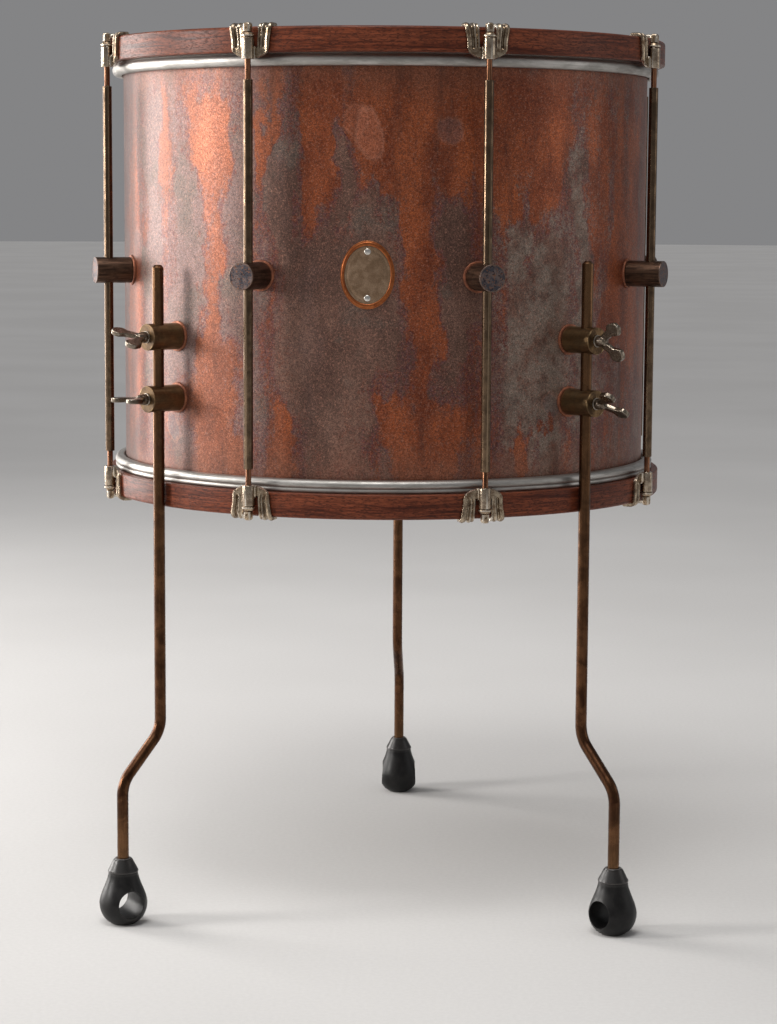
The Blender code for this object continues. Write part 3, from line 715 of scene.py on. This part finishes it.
def shell_mesh():
    """Thin sheet with its edges rolled inward, and the slight waves of hand-rolled copper."""
    def wave(angle, r, z):
        flat = max(0.0, 1.0 - (abs(z) / 0.165) ** 6)
        at = Vector((3.0 * cos(angle), 3.0 * sin(angle), 7.0 * z))
        return 0.16 * MM * flat * noise.noise(at)

    bend, sweep = 9.0 * MM, 58.0
    start = SHELL_HALF - 0.6 * MM - bend
    edge = arc(SHELL_R - bend, start, bend, bend, 0.0, sweep, 6)[1:]
    edge.append((edge[-1][0] - 0.55 * MM, edge[-1][1] + 0.1 * MM))
    edge += arc(SHELL_R - bend, start, bend - WALL, bend - WALL, sweep, 0.0, 6)
    wall = [(SHELL_R, z) for z in spread(-start, start, 48)]
    return lathe(wall + edge + [(r, -z) for r, z in reversed(edge)], RING_SEG, wave)


def on_shell(x, z, out):
    """A point of the front of the shell by arc length and height, lifted outward."""
    r = SHELL_R + out
    return (r * sin(x / SHELL_R), -r * cos(x / SHELL_R), z)


def oval_mesh(steps, sink):
    """The badge's outline bent to the shell. steps is (share of its size, lift in mm), from the rim in."""
    bm = bmesh.new()
    rings = []
    for share, lift in [(steps[0][0], sink), *steps]:
        rings.append([bm.verts.new(on_shell(0.5 * BADGE_W * share * cos(a),
                                            0.5 * BADGE_H * share * sin(a), lift * MM))
                      for a in circle(96)])
    for lower, upper in zip(rings, rings[1:]):
        band(bm, lower, upper)
    return bm, rings


def badge_surround_mesh():
    """Raised rolled ring round the badge, with a fine outer step."""
    bead = arc(0.905, 0.62, 0.055, 0.52, 0.0, 180.0, 8)
    bm, rings = oval_mesh([(1.0, 0.35), (0.995, 0.55), (0.975, 0.62), *bead, (0.845, 0.30)], 0.02)
    band(bm, rings[0], rings[-1])
    return close_up(bm)


def badge_plate_mesh():
    """Inner plate: gently crowned, with one thin engraved line inside its edge."""
    steps = [(0.842, 0.48), (0.78, 0.62), (0.765, 0.50), (0.745, 0.50), (0.73, 0.64)]
    steps += [(0.73 - 0.09 * k, 0.64 + 0.05 * sin(0.25 * pi * min(k, 2))) for k in range(1, 8)]
    bm, rings = oval_mesh(steps, 0.05)
    band(bm, rings[-1], [bm.verts.new(on_shell(0.0, 0.0, 0.69 * MM))])
    band(bm, [bm.verts.new(on_shell(0.0, 0.0, 0.05 * MM))], rings[0])
    return close_up(bm)


def dome_mesh(radius, height, segments=24):
    return lathe([(0.0, 0.0)] + arc(0.0, 0.0, radius, height, 0.0, 90.0, 5), segments)


def hoop_mesh():
    """Wood ring, well rounded at its free edge."""
    return lathe(box_section(HOOP_OUT_R - HOOP_WIDTH, HOOP_OUT_R, HOOP_LOW, HOOP_HIGH,
                             (0.8, 1.1, 2.3, 2.3), 6), RING_SEG)


def rim_mesh(grooved):
    """Rolled metal rim of a drumhead: one broad rounded band, or a big bead and a narrow band."""
    bead, low, high = (3.9 * MM, -74.0, 44.0) if grooved else (5.4 * MM, -58.0, 52.0)
    outline = arc(RIM_OUT_R - bead, RIM_LOW - bead * sin(radians(low)), bead, bead, low, high, 12)
    if grooved:
        r, z = outline[-1]
        outline.append((r - 0.05 * MM, z + 0.22 * MM))
        for t in spread(0.0, 1.0, 6):
            bulge = 0.45 * MM * (1.0 - (2.0 * t - 0.9) ** 2 / 1.21)
            outline.append((RIM_OUT_R - 0.85 * MM + bulge,
                            z + 0.44 * MM + (RIM_HIGH - z - 0.69 * MM) * t))
    inner = RIM_OUT_R - RIM_WIDTH
    outline += [(RIM_OUT_R - 2.3 * MM, RIM_HIGH), (inner + 0.4 * MM, RIM_HIGH), (inner, RIM_HIGH - 0.4 * MM),
                (inner, RIM_LOW + 1.0 * MM), (inner + 0.8 * MM, RIM_LOW)]
    return lathe(outline, RING_SEG)


def film_mesh():
    """Film stretched over the shell's edge and turned down into its rim."""
    sweep = radians(78.0)
    across = 5.6 * MM / sin(sweep)
    drop = 5.4 * MM / (1.0 - cos(sweep))
    top = [(r, FILM_HIGH) for r in (0.0, 0.060, 0.120, 0.170, 0.205, 0.222)]
    top += arc(0.2245, FILM_HIGH - drop, across, drop, 90.0, 12.0, 7)[1:]
    top.append((RIM_OUT_R - RIM_WIDTH - 0.1 * MM, RIM_LOW + 2.0 * MM))
    under = [(r - 0.35 * MM, z - 0.35 * MM) for r, z in reversed(top[1:])]
    return lathe(top + under + [(0.0, FILM_HIGH - 0.4 * MM)], RING_SEG)


def add_drum():
    """Shell, badge, hoops and heads."""
    on_copper = "drum", ["shell"], "copper_shell"
    piece("shell_sheet", shell_mesh(), COPPER, *on_copper, put())
    for name, mesh, material in (("badge_surround", badge_surround_mesh(), BADGE_RING),
                                 ("badge_plate", badge_plate_mesh(), BADGE_PLATE)):
        piece(name, mesh, material, *on_copper, put(), sharp=50.0)
    for name, height in (("badge_rivet_top", 18.5 * MM), ("badge_rivet_bottom", -18.5 * MM)):
        at = put() @ Matrix.Translation(on_shell(0.0, height, 0.6 * MM)) @ OUTWARD
        piece(name, dome_mesh(2.6 * MM, 0.75 * MM), RIVET, *on_copper, at)
    hoop, film = hoop_mesh(), film_mesh()
    for end, head, flip in (("top", "batter", False), ("bottom", "resonant", True)):
        parts = [upside_down(mesh) if flip else mesh for mesh in (hoop, rim_mesh(flip), film)]
        piece(f"{end}_hoop_wood", parts[0], WOOD, f"{end}_hoop_set", [f"{end}_hoop"], "hoop_wood", put())
        piece(f"{head}_rim", parts[1], RIM, "drum", [f"{head}_head"], "head_film", put())
        piece(f"{head}_film", parts[2], FILM, "drum", [f"{head}_head"], "head_film", put())


# ---- lugs --------------------------------------------------------------------------------------
def fitted_to_shell(mesh, lift):
    """Presses the inner face of a piece at the front of the drum to the shell's curve."""
    for v in mesh.vertices:
        if v.co.y > -SHELL_R - 0.6 * MM:
            v.co.y = -sqrt((SHELL_R + lift) ** 2 - v.co.x ** 2)
    return mesh


def gasket_mesh():
    """Thin ring under a post, pressed to the shell."""
    base = SHELL_R + 0.1 * MM
    outline = box_section(4.0 * MM, GASKET_R, base, base + GASKET_T, (0.0, 0.0, 0.45, 0.0), 3)
    return fitted_to_shell(moved(lathe(outline, 64), OUTWARD), 0.05 * MM)


def post_outline(face_r):
    """Turned post about the outward axis, with an eased rim and a flat, slightly sunk face."""
    base = SHELL_R + GASKET_T + 0.15 * MM
    sunk = face_r - 0.15 * MM
    return rounded(((0.0, base, 0.0), (POST_R - 0.5 * MM, base, 0.0), (POST_R, base + 0.5 * MM, 0.0),
                    (POST_R, face_r, 0.5 * MM), (POST_R - 0.9 * MM, face_r, 0.0),
                    (POST_R - 1.0 * MM, sunk, 0.0), (POST_R - 1.6 * MM, sunk, 0.0),
                    (4.1 * MM, sunk, 0.0), (0.0, sunk, 0.0)), 5)


def lug_post_mesh():
    """Post with the cross hole that the tube runs through."""
    hole = moved(rod(TUBE_R + 0.12 * MM, -BORE_REACH, BORE_REACH, 40), out_to(TUBE_AT_R))
    return cut(moved(lathe(post_outline(POST_FACE_R), 56), OUTWARD), hole)


def tube_mesh():
    outline = box_section(TUBE_BORE_R, TUBE_R, -TUBE_HALF, TUBE_HALF, (0.2, 0.3, 0.3, 0.2), 3)
    return moved(lathe(outline, 36), out_to(TUBE_AT_R))


def inside_screw_mesh():
    """Washer and slotted round head of the screw that holds a post, on the inner wall."""
    wall = SHELL_R - WALL - 0.1 * MM
    washer_r, washer_t, head_r, head_t = 6.5 * MM, 0.9 * MM, 4.4 * MM, 2.4 * MM
    outline = [(0.0, wall), (washer_r, wall), (washer_r, wall - washer_t)]
    outline += arc(0.0, wall - washer_t, head_r, -head_t, 0.0, 90.0, 6)
    slot = loft([[(x * MM, y - wall, z * MM) for x, z in ((-5.0, -0.5), (5.0, -0.5), (5.0, 0.5), (-5.0, 0.5))]
                 for y in (2.4 * MM, 4.0 * MM)])
    return cut(moved(lathe(outline, 32), OUTWARD), slot)


def add_lugs():
    meshes = {"post": (lug_post_mesh(), POST), "gasket": (gasket_mesh(), GASKET),
              "tube": (tube_mesh(), TUBE), "screw": (inside_screw_mesh(), SCREW)}
    for k in LUGS:
        at = put(angle_of(joint_at(f"top_key_rod_{k}_turn")), LUG_Z)
        for part, (mesh, material) in meshes.items():
            piece(f"lug_{part}_{k}", mesh, material, "drum", [f"tube_lug_{k}"], "lug_bronze", at)


# ---- claws and key rods ------------------------------------------------------------------------
def eased(distance, radius):
    """How far a surface drops at this distance from an edge that is rounded by this radius."""
    if distance >= radius:
        return 0.0
    return radius - sqrt(max(0.0, radius ** 2 - (radius - distance) ** 2))


def groove(distance, half_width, depth):
    """Depth of a round-bottomed groove at this distance from its middle line."""
    share = abs(distance) / half_width
    return depth * sqrt(1.0 - share ** 2) if share < 1.0 else 0.0


def ridge(distance, half_width, height):
    """Height of a soft ridge at this distance from its middle line."""
    return height * exp(-(distance / half_width) ** 2)


CLAW_INNER = HOOP_OUT_R + GAP
CLAW_BEND = 2.6 * MM                       # inner bend over the hoop's rounded edge
CLAW_TOP = HOOP_HIGH + GAP                 # underside of the hook
CLAW_LOW = BARREL_LOW
CLAW_BOW = 9.6 * MM                        # how far the rounded lower end rises to the sides
CLAW_NOTCH_LOW = CLAW_LOW + 8.6 * MM
CLAW_FLARE = 0.12                          # how much wider the arms stand at the hook
SLOT_X = 12.1 * MM
SLOT_LOW = CLAW_LOW + 9.2 * MM


def claw_profile():
    """Length of the claw's path from its lower end to the end of its hook, and the path itself.
    The path runs up the hoop's outer face, round its edge and inward over its top."""
    straight = CLAW_TOP - CLAW_BEND - CLAW_LOW
    bend = 0.5 * pi * CLAW_BEND

    def at(s):
        """Radius, height and outward normal at this length along the underside."""
        if s < straight:
            return CLAW_INNER, CLAW_LOW + s, (1.0, 0.0)
        if s < straight + bend:
            a = (s - straight) / CLAW_BEND
            return (CLAW_INNER - CLAW_BEND * (1.0 - cos(a)),
                    CLAW_TOP - CLAW_BEND + CLAW_BEND * sin(a), (cos(a), sin(a)))
        return CLAW_INNER - CLAW_BEND - (s - straight - bend), CLAW_TOP, (0.0, 1.0)

    return straight + bend + CLAW_REACH - CLAW_BEND, at


def claw_relief(x, s, low, total):
    """Height of the claw's outer face over its underside."""
    side = abs(x)
    past_slot = s - (SLOT_LOW - CLAW_LOW)
    edge = min(CLAW_HALF - side, s - low, total - s)
    if side >= CLAW_NOTCH - 1e-9 and s > CLAW_NOTCH_LOW - CLAW_LOW:
        edge = min(edge, side - CLAW_NOTCH)
    height = CLAW_T - eased(max(edge, 0.0), 0.9 * MM)
    height += ridge(side - (CLAW_HALF - 1.9 * MM), 1.0 * MM, 0.55 * MM)
    to_slot = side - SLOT_X
    if past_slot < 0.0:
        to_slot = hypot(to_slot, past_slot)
    height -= groove(to_slot, 1.15 * MM, 1.5 * MM)
    if past_slot > -2.0 * MM:
        fade = min(1.0, (past_slot + 2.0 * MM) / (3.0 * MM))
        height += fade * ridge(side - 9.9 * MM, 0.75 * MM, 0.5 * MM)
        height -= fade * ridge(side - 8.5 * MM, 0.5 * MM, 0.35 * MM)
    return max(height, 0.3 * MM)


def claw_plate_mesh():
    """Two arms joined at the rounded lower end, as a grid across the claw and along its path."""
    total, at = claw_profile()
    arm = [CLAW_NOTCH + (CLAW_HALF - CLAW_NOTCH) * sin(0.5 * pi * t) ** 0.9
           for t in spread(0.0, 1.0, 30)]
    left = [-x for x in reversed(arm)]
    middle = spread(-CLAW_NOTCH, CLAW_NOTCH, 8)
    low_rows, high_rows = 12, 34
    rows = low_rows + high_rows
    bm = bmesh.new()
    made = {}

    def corner(x, row, outer):
        key = (round(x * 1e7), row, outer)
        if key not in made:
            low = CLAW_BOW * (1.0 - sqrt(max(0.0, 1.0 - (x / CLAW_HALF) ** 2)))
            turn_at = max(CLAW_NOTCH_LOW - CLAW_LOW, low + 1.0 * MM)
            if row <= low_rows:
                s = low + (turn_at - low) * row / low_rows
            else:
                s = turn_at + (total - turn_at) * (row - low_rows) / high_rows
            r, z, normal = at(s)
            lift = claw_relief(x, s, low, total) if outer else 0.0
            r += lift * normal[0]
            z += lift * normal[1]
            flare = min(1.0, max(0.0, (s - 0.35 * total) / (0.45 * total)))
            a = x * (1.0 + CLAW_FLARE * flare * flare * (3.0 - 2.0 * flare)) / CLAW_INNER
            made[key] = bm.verts.new((r * sin(a), -r * cos(a), z))
        return made[key]

    def panel(xs, high):
        for outer in (False, True):
            for x0, x1 in zip(xs, xs[1:]):
                for row in range(high):
                    bm.faces.new((corner(x0, row, outer), corner(x1, row, outer),
                                  corner(x1, row + 1, outer), corner(x0, row + 1, outer)))

    panel(left, rows)
    panel(arm, rows)
    panel(middle, low_rows)
    outer_of = {made[x, row, False]: vert for (x, row, outer), vert in made.items() if outer}
    for edge in [edge for edge in bm.edges if edge.is_boundary and edge.verts[0] in outer_of]:
        v, w = edge.verts
        bm.faces.new((v, w, outer_of[w], outer_of[v]))
    return close_up(bm)


def claw_mesh():
    """Plate, bored barrel and the two ribs that carry the barrel."""
    barrel = lathe(box_section(0.0, BARREL_R, BARREL_LOW - 0.15 * MM, BARREL_HIGH,
                               (0.0, 0.5, 0.5, 0.0), 3), 40)
    face = CLAW_INNER + CLAW_T
    section = rounded([(x * MM, -face - out * MM, radius * MM) for x, out, radius in (
        (-6.2, -1.0, 0.0), (6.2, -1.0, 0.0), (5.6, 1.5, 0.8), (3.4, 3.4, 0.5), (-3.4, 3.4, 0.5),
        (-5.6, 1.5, 0.8))], 3)
    saddle = loft([[(p.x * share, p.y + back * MM, CLAW_LOW + up * MM) for p in section]
                   for up, share, back in ((0.25, 0.96, 0.1), (7.6, 1.0, 0.0), (9.6, 0.9, 1.3))])
    bore = rod(ROD_R + 0.5 * MM, BARREL_LOW - 10.0 * MM, BARREL_HIGH + 10.0 * MM, 32)
    solid = union(union(claw_plate_mesh(), saddle), moved(barrel, out_to(TUBE_AT_R)))
    return cut(solid, moved(bore, out_to(TUBE_AT_R)))


def key_rod_mesh():
    """Threaded rod, grooved flange, conical neck and a square key head with a rounded top."""
    low = TUBE_HALF - 34.0 * MM
    seat = BARREL_HIGH + GAP
    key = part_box("top_key_rod_1")[1].z - MIDDLE.z - seat
    pitch, turns = 1.0 * MM, 28
    stations = [(ROD_R - 0.9 * MM, low, 2.0), (ROD_R - 0.4 * MM, low + 0.5 * MM, 2.0)]
    for k in range(1, turns + 1):
        stations += [(ROD_R - 0.05 * MM, low + k * pitch, 2.0),
                     (ROD_R - 0.4 * MM, low + (k + 0.5) * pitch, 2.0)]
    stations += [(ROD_R, low + 30.0 * MM, 2.0), (ROD_R, seat, 2.0)]
    stations += [(r * MM, seat + h * MM, 2.0) for r, h in (
        (4.3, 0.0), (4.3, 0.3), (5.0, 0.45), (5.3, 0.75), (5.3, 1.5), (5.0, 1.85), (4.55, 1.95),
        (4.5, 2.2), (4.3, 2.6), (3.6, 3.3), (3.0, 3.8), (2.7, 4.0))]
    stations += [(2.75 * MM, seat + 4.1 * MM, 4.0), (3.0 * MM, seat + 4.4 * MM, 7.0)]
    stations += [(r * MM, seat + key - down * MM, n) for r, down, n in (
        (3.0, 2.4, 7.0), (2.93, 1.6, 6.0), (2.7, 0.9, 5.0), (2.2, 0.35, 3.5), (1.4, 0.08, 2.5),
        (0.5, 0.0, 2.0))]
    rings = []
    for size, h, n in stations:                # n: 2 gives a round section, more a squarer one
        ring = []
        for a in circle(32, 0.5):
            c, s = cos(a), sin(a)
            r = size / (abs(c) ** n + abs(s) ** n) ** (1.0 / n)
            ring.append((r * c, r * s - TUBE_AT_R, h))
        rings.append(ring)
    dimple = moved(dome_mesh(0.95 * MM, 0.9 * MM, 16), turn(-90.0, "X"))
    at = Matrix.Translation((0.0, -TUBE_AT_R - 3.05 * MM, seat + 7.0 * MM))
    return cut(loft(rings), moved(dimple, at))


def add_claws():
    claw, key_rod = claw_mesh(), key_rod_mesh()
    ends = (("top", claw, key_rod), ("bottom", upside_down(claw), upside_down(key_rod)))
    for k in LUGS:
        for end, claw_end, rod_end in ends:
            at = put(angle_of(joint_at(f"{end}_key_rod_{k}_turn")))
            piece(f"{end}_claw_{k}_cast", claw_end, NICKEL, f"{end}_hoop_set", [f"{end}_claw_{k}"],
                  "claw_nickel", at)
            piece(f"{end}_key_rod_{k}_turned", rod_end, KEY_ROD, f"{end}_key_rod_{k}_body",
                  [f"{end}_key_rod_{k}"], "key_rod_steel", at)


# ---- legs --------------------------------------------------------------------------------------
BORE_LEG_R = LEG_ROD_R + 0.35 * MM
CLAMP_R = 3.0 * MM
BEND_TOP = 123.9 * MM                      # the upper bend's corner over the leg's lower end
BEND_DROP = 40.0 * MM                      # from there to the lower bend's corner
BEND_R = 26.0 * MM
# How far each wing screw was left turned, and how far the left foot is turned on its rod, in degrees.
SCREW_ROLLS = {"left": {"upper": 155.0, "lower": 0.0}, "right": {"upper": 104.0, "lower": 142.0},
               "rear": {"upper": 115.0, "lower": 15.0}}
FOOT_ROLLS = {"left": -11.0, "right": 0.0, "rear": 0.0}


def boss_mesh():
    """Bracket post with the leg's hole across it and the clamp screw's hole in its face."""
    boss = moved(lathe(post_outline(BOSS_FACE_R), 56), OUTWARD)
    across = moved(rod(BORE_LEG_R, -BORE_REACH, BORE_REACH, 40), out_to(LEG_AT_R))
    inward = moved(rod(CLAMP_R + 0.3 * MM, LEG_AT_R, BOSS_FACE_R + 5.0 * MM, 32), OUTWARD)
    return cut(cut(boss, across), inward)


def strip_mesh():
    """Backing strip on the inner wall, with a nut for each boss."""
    mid = 0.5 * (BOSS_Z["upper"] + BOSS_Z["lower"])
    wide, half = 10.0 * MM, 0.5 * (BOSS_Z["upper"] - BOSS_Z["lower"]) + 11.0 * MM
    outline = box_section(-wide, wide, -half, half, (4.0, 4.0, 4.0, 4.0), 5)
    inner = SHELL_R - WALL - 1.0 * MM
    plate = loft([[(p.x, -r, mid + p.y) for p in outline] for r in (inner - 1.6 * MM, inner)])
    nut_outline = [(r * MM, inner - back * MM) for r, back in ((0.0, 5.4), (3.6, 5.4), (4.4, 4.9),
                                                               (4.4, 1.7), (0.0, 1.7))]
    nuts = [moved(lathe(nut_outline, 6), Matrix.Translation((0.0, 0.0, height)) @ OUTWARD)
            for height in BOSS_Z.values()]
    return joined(plate, *nuts)


def wing_screw_mesh():
    """Cast clamp screw about +Z from the boss face: hub, two splayed rounded lobes, and its shank."""
    outline = rounded(mm((0.5, 3.6, 0.5), (5.4, 6.2, 3.5), (9.6, 12.6, 3.0), (15.2, 14.6, 4.2),
                         (16.6, 22.5, 4.6), (12.6, 27.6, 4.0), (5.9, 26.3, 3.8), (4.9, 17.5, 4.0),
                         (0.5, 9.4, 1.0)), 5)
    lobes = [loft([[(side * p.x, y, p.y) for p in outline] for y in (-1.95 * MM, 1.95 * MM)])
             for side in (-1.0, 1.0)]
    hub = lathe(mm((0.0, 0.4), (4.6, 0.4), (4.6, 3.2), (4.2, 6.0), (3.5, 9.2), (2.0, 10.2), (0.0, 10.4)), 40)
    cast = evaluated(joined(hub, *lobes),
                     ("REMESH", {"mode": "VOXEL", "voxel_size": 0.42 * MM}),
                     ("SMOOTH", {"factor": 0.6, "iterations": 9}))
    reach = BOSS_FACE_R - LEG_AT_R - LEG_ROD_R - GAP
    pitch = 1.2 * MM
    shank = [(0.0, -reach), (CLAMP_R - 0.6 * MM, -reach)]
    for k in range(int(reach / pitch)):
        shank += [(CLAMP_R, -reach + (k + 0.5) * pitch), (CLAMP_R - 0.45 * MM, -reach + (k + 1.0) * pitch)]
    shank += [(CLAMP_R - 0.3 * MM, 1.5 * MM), (0.0, 1.5 * MM)]
    collar = mm((0.0, 0.15), (4.9, 0.15), (4.9, 0.9), (4.5, 1.2), (0.0, 1.2))
    return joined(cast, lathe(shank, 24), lathe(collar, 40))


def leg_mesh(top):
    """Straight rod with a double bend near its foot and a chamfered upper end at this height."""
    low = leg_low.z - MIDDLE.z
    corners = [Vector(at) for at in ((LEG_AT_R, top), (LEG_AT_R, low + BEND_TOP),
                                     (LEG_FOOT_R, low + BEND_TOP - BEND_DROP), (LEG_FOOT_R, low))]
    path = [corners[0] - Vector((0.0, down * MM)) for down in (0.0, 0.25, 2.2)]
    for before, here, after in zip(corners, corners[1:], corners[2:]):
        into = (here - before).normalized()
        out = (after - here).normalized()
        bend = into.angle(out)
        side = (out - into * into.dot(out)).normalized()
        start = here - into * (BEND_R * tan(0.5 * bend))
        path += [start + into * (BEND_R * sin(t)) + side * (BEND_R * (1.0 - cos(t)))
                 for t in spread(0.0, bend, 16)]
    path += [corners[3] + Vector((0.0, 1.0 * MM)), corners[3]]
    sizes = [LEG_ROD_R] * len(path)
    sizes[0], sizes[1], sizes[-1] = LEG_ROD_R - 2.3 * MM, LEG_ROD_R - 1.9 * MM, LEG_ROD_R - 1.0 * MM
    rings = []
    for k, (point, size) in enumerate(zip(path, sizes)):
        along = (path[min(k + 1, len(path) - 1)] - path[max(k - 1, 0)]).normalized()
        across = Vector((-along.y, along.x)) * size
        rings.append([(size * sin(a), -(point.x + across.x * cos(a)),
                       point.y + across.y * cos(a)) for a in circle(36)])
    return loft(rings)


FOOT_STEP = 44.0 * MM                      # height of the step between bulb and collar


def foot_outline():
    """Rubber bulb from the floor up to the step under its collar."""
    wide = 18.0 * MM                           # height where the bulb is widest
    points = [(0.0, 0.0), (9.6 * MM, 0.0)] + arc(7.2 * MM, wide, 12.8 * MM, 17.73 * MM, -68.0, 0.0, 6)
    for t in spread(0.1, 1.0, 9):
        ease = 0.35 * t + 0.65 * (0.5 - 0.5 * cos(pi * t))
        points.append(((20.0 - 7.9 * ease) * MM, wide + (FOOT_STEP - wide) * t))
    return points


def foot_mesh():
    """Bulb with the wide cross hole along the shell and its eased mouths."""
    body = lathe(foot_outline() + [(0.0, FOOT_STEP)], 72)
    hole_z, hole_r = 18.5 * MM, 11.2 * MM
    outline = [(0.0, -30.0 * MM), (hole_r + 1.4 * MM, -30.0 * MM), (hole_r + 1.2 * MM, -18.6 * MM),
               (hole_r + 0.45 * MM, -17.0 * MM), (hole_r, -15.6 * MM)]
    outline += [(r, -z) for r, z in reversed(outline)]
    at = Matrix.Translation((0.0, 0.0, hole_z)) @ turn(90.0, "Y")
    body = cut(body, moved(lathe(outline, 56), at))
    return cut(body, rod(LEG_ROD_R + 0.15 * MM, 34.4 * MM, 60.0 * MM, 40))


def foot_collar_mesh():
    """Conical collar over the bulb, with a thin lip round the rod."""
    bore = LEG_ROD_R + 0.15 * MM
    top = FOOT_HIGH - 0.1 * MM
    low = FOOT_STEP + 0.1 * MM
    outline = [(bore, low), (12.2 * MM, low), (12.6 * MM, low + 0.4 * MM), (12.6 * MM, low + 1.1 * MM),
               (12.3 * MM, low + 1.7 * MM), (8.0 * MM, 54.2 * MM), (7.4 * MM, 54.4 * MM),
               (7.1 * MM, top - 0.4 * MM), (6.7 * MM, top), (bore + 0.3 * MM, top)]
    return lathe(outline, 64)


def add_legs():
    """Brackets with their wing screws, and legs with their feet."""
    boss, gasket, strip = boss_mesh(), gasket_mesh(), strip_mesh()
    wing, foot, collar = wing_screw_mesh(), foot_mesh(), foot_collar_mesh()
    for side in SIDES:
        angle = angle_of(joint_at(f"wing_screw_{side}_upper_turn"))
        bracket = "drum", [f"leg_bracket_{side}"], "bracket_brass"
        for place in PLACES:
            at = put(angle, BOSS_Z[place])
            piece(f"boss_{side}_{place}", boss, BRASS, *bracket, at)
            piece(f"boss_gasket_{side}_{place}", gasket, GASKET, *bracket, at)
            screw = at @ out_to(BOSS_FACE_R) @ OUTWARD
            screw = screw @ turn(SCREW_ROLLS[side][place])
            piece(f"wing_screw_{side}_{place}_cast", wing, WING, f"wing_screw_{side}_{place}_body",
                  [f"wing_screw_{side}_{place}"], "wing_screw_metal", screw)
        piece(f"backing_strip_{side}", strip, SCREW, *bracket, put(angle))
        body = f"leg_{side}_body"
        leg = leg_mesh(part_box(f"leg_{side}")[1].z - MIDDLE.z)
        piece(f"leg_{side}_rod", leg, LEG, body, [f"leg_{side}"], "leg_rod_metal", put(angle))
        stand = put(angle, foot_low.z - MIDDLE.z) @ out_to(LEG_FOOT_R)
        stand = stand @ turn(FOOT_ROLLS[side])
        rubber = body, [f"foot_{side}"], "foot_rubber", stand
        piece(f"foot_{side}_bulb", foot, RUBBER, *rubber)
        piece(f"foot_{side}_collar", collar, COLLAR, *rubber)


# ---- floor, light and camera -------------------------------------------------------------------
def add_floor():
    bm = bmesh.new()
    bmesh.ops.create_circle(bm, cap_ends=True, segments=96, radius=30.0)
    mesh = close_up(bm)
    mesh.materials.append(floor_paper())
    placed("floor", mesh)


def soft_light(name, at, size, power, colour):
    """A soft box this far from the middle of the shell and aimed at it."""
    data = bpy.data.lights.new(name, "AREA")
    data.shape = "RECTANGLE"
    data.size, data.size_y = size
    data.energy = power
    data.color = colour
    light = placed(name, data)
    light.location = MIDDLE + Vector(at)
    light.rotation_euler = (-Vector(at)).to_track_quat("-Z", "Y").to_euler()


def add_light():
    """Two soft boxes to the left, weaker ones above and to the right, and a plain pale surround."""
    world = bpy.data.worlds.new("surround")
    bpy.context.scene.world = world
    world.use_nodes = True
    surround = world.node_tree.nodes["Background"].inputs
    surround["Color"].default_value = (0.98, 0.98, 1.0, 1.0)
    surround["Strength"].default_value = 0.235
    for box in (("back_left", (-2.15, 0.95, 0.35), (1.0, 1.9), 60.0, (1.0, 0.97, 0.94)),
                ("key_left", (-2.3, -0.65, 0.45), (0.5, 0.8), 37.0, (1.0, 0.97, 0.94)),
                ("top_front", (-0.2, -1.1, 2.5), (1.1, 0.7), 24.0, (1.0, 0.99, 0.97)),
                ("fill_right", (2.6, -0.2, 0.5), (1.2, 1.6), 5.0, (1.0, 0.98, 0.96))):
        soft_light(*box)
    data = bpy.data.lights.new("high_soft", "SUN")
    data.energy = 1.0
    data.angle = radians(60.0)
    placed("high_soft", data).rotation_euler = (radians(14.0), radians(-16.0), 0.0)


def add_camera():
    """The camera stands a little to the right of the badge, looking slightly down."""
    distance, height, swing = 2.249, 0.605, radians(3.405)
    pitch, yaw, roll = radians(7.147), radians(0.119), radians(0.314)
    data = bpy.data.cameras.new("camera")
    data.sensor_width = 36.0
    data.lens = 88.96
    data.clip_start = 0.05
    camera = placed("camera", data)
    ground = Vector((MIDDLE.x, MIDDLE.y, 0.0))
    ahead = Vector((sin(yaw) * cos(pitch), cos(yaw) * cos(pitch), -sin(pitch)))
    right = Vector((cos(yaw), -sin(yaw), 0.0))
    up = right.cross(ahead)
    across = right * cos(roll) + up * sin(roll)
    upward = up * cos(roll) - right * sin(roll)
    swung = Matrix.Rotation(swing, 3, "Z")
    axes = Matrix((swung @ across, swung @ upward, swung @ -ahead)).transposed()
    camera.matrix_world = (Matrix.Translation(ground + swung @ Vector((0.0, -distance, height)))
                           @ axes.to_4x4())
    bpy.context.scene.camera = camera


add_floor()
add_light()
add_camera()
add_drum()
add_lugs()
add_claws()
add_legs()
bpy.context.scene.view_settings.view_transform = "Standard"
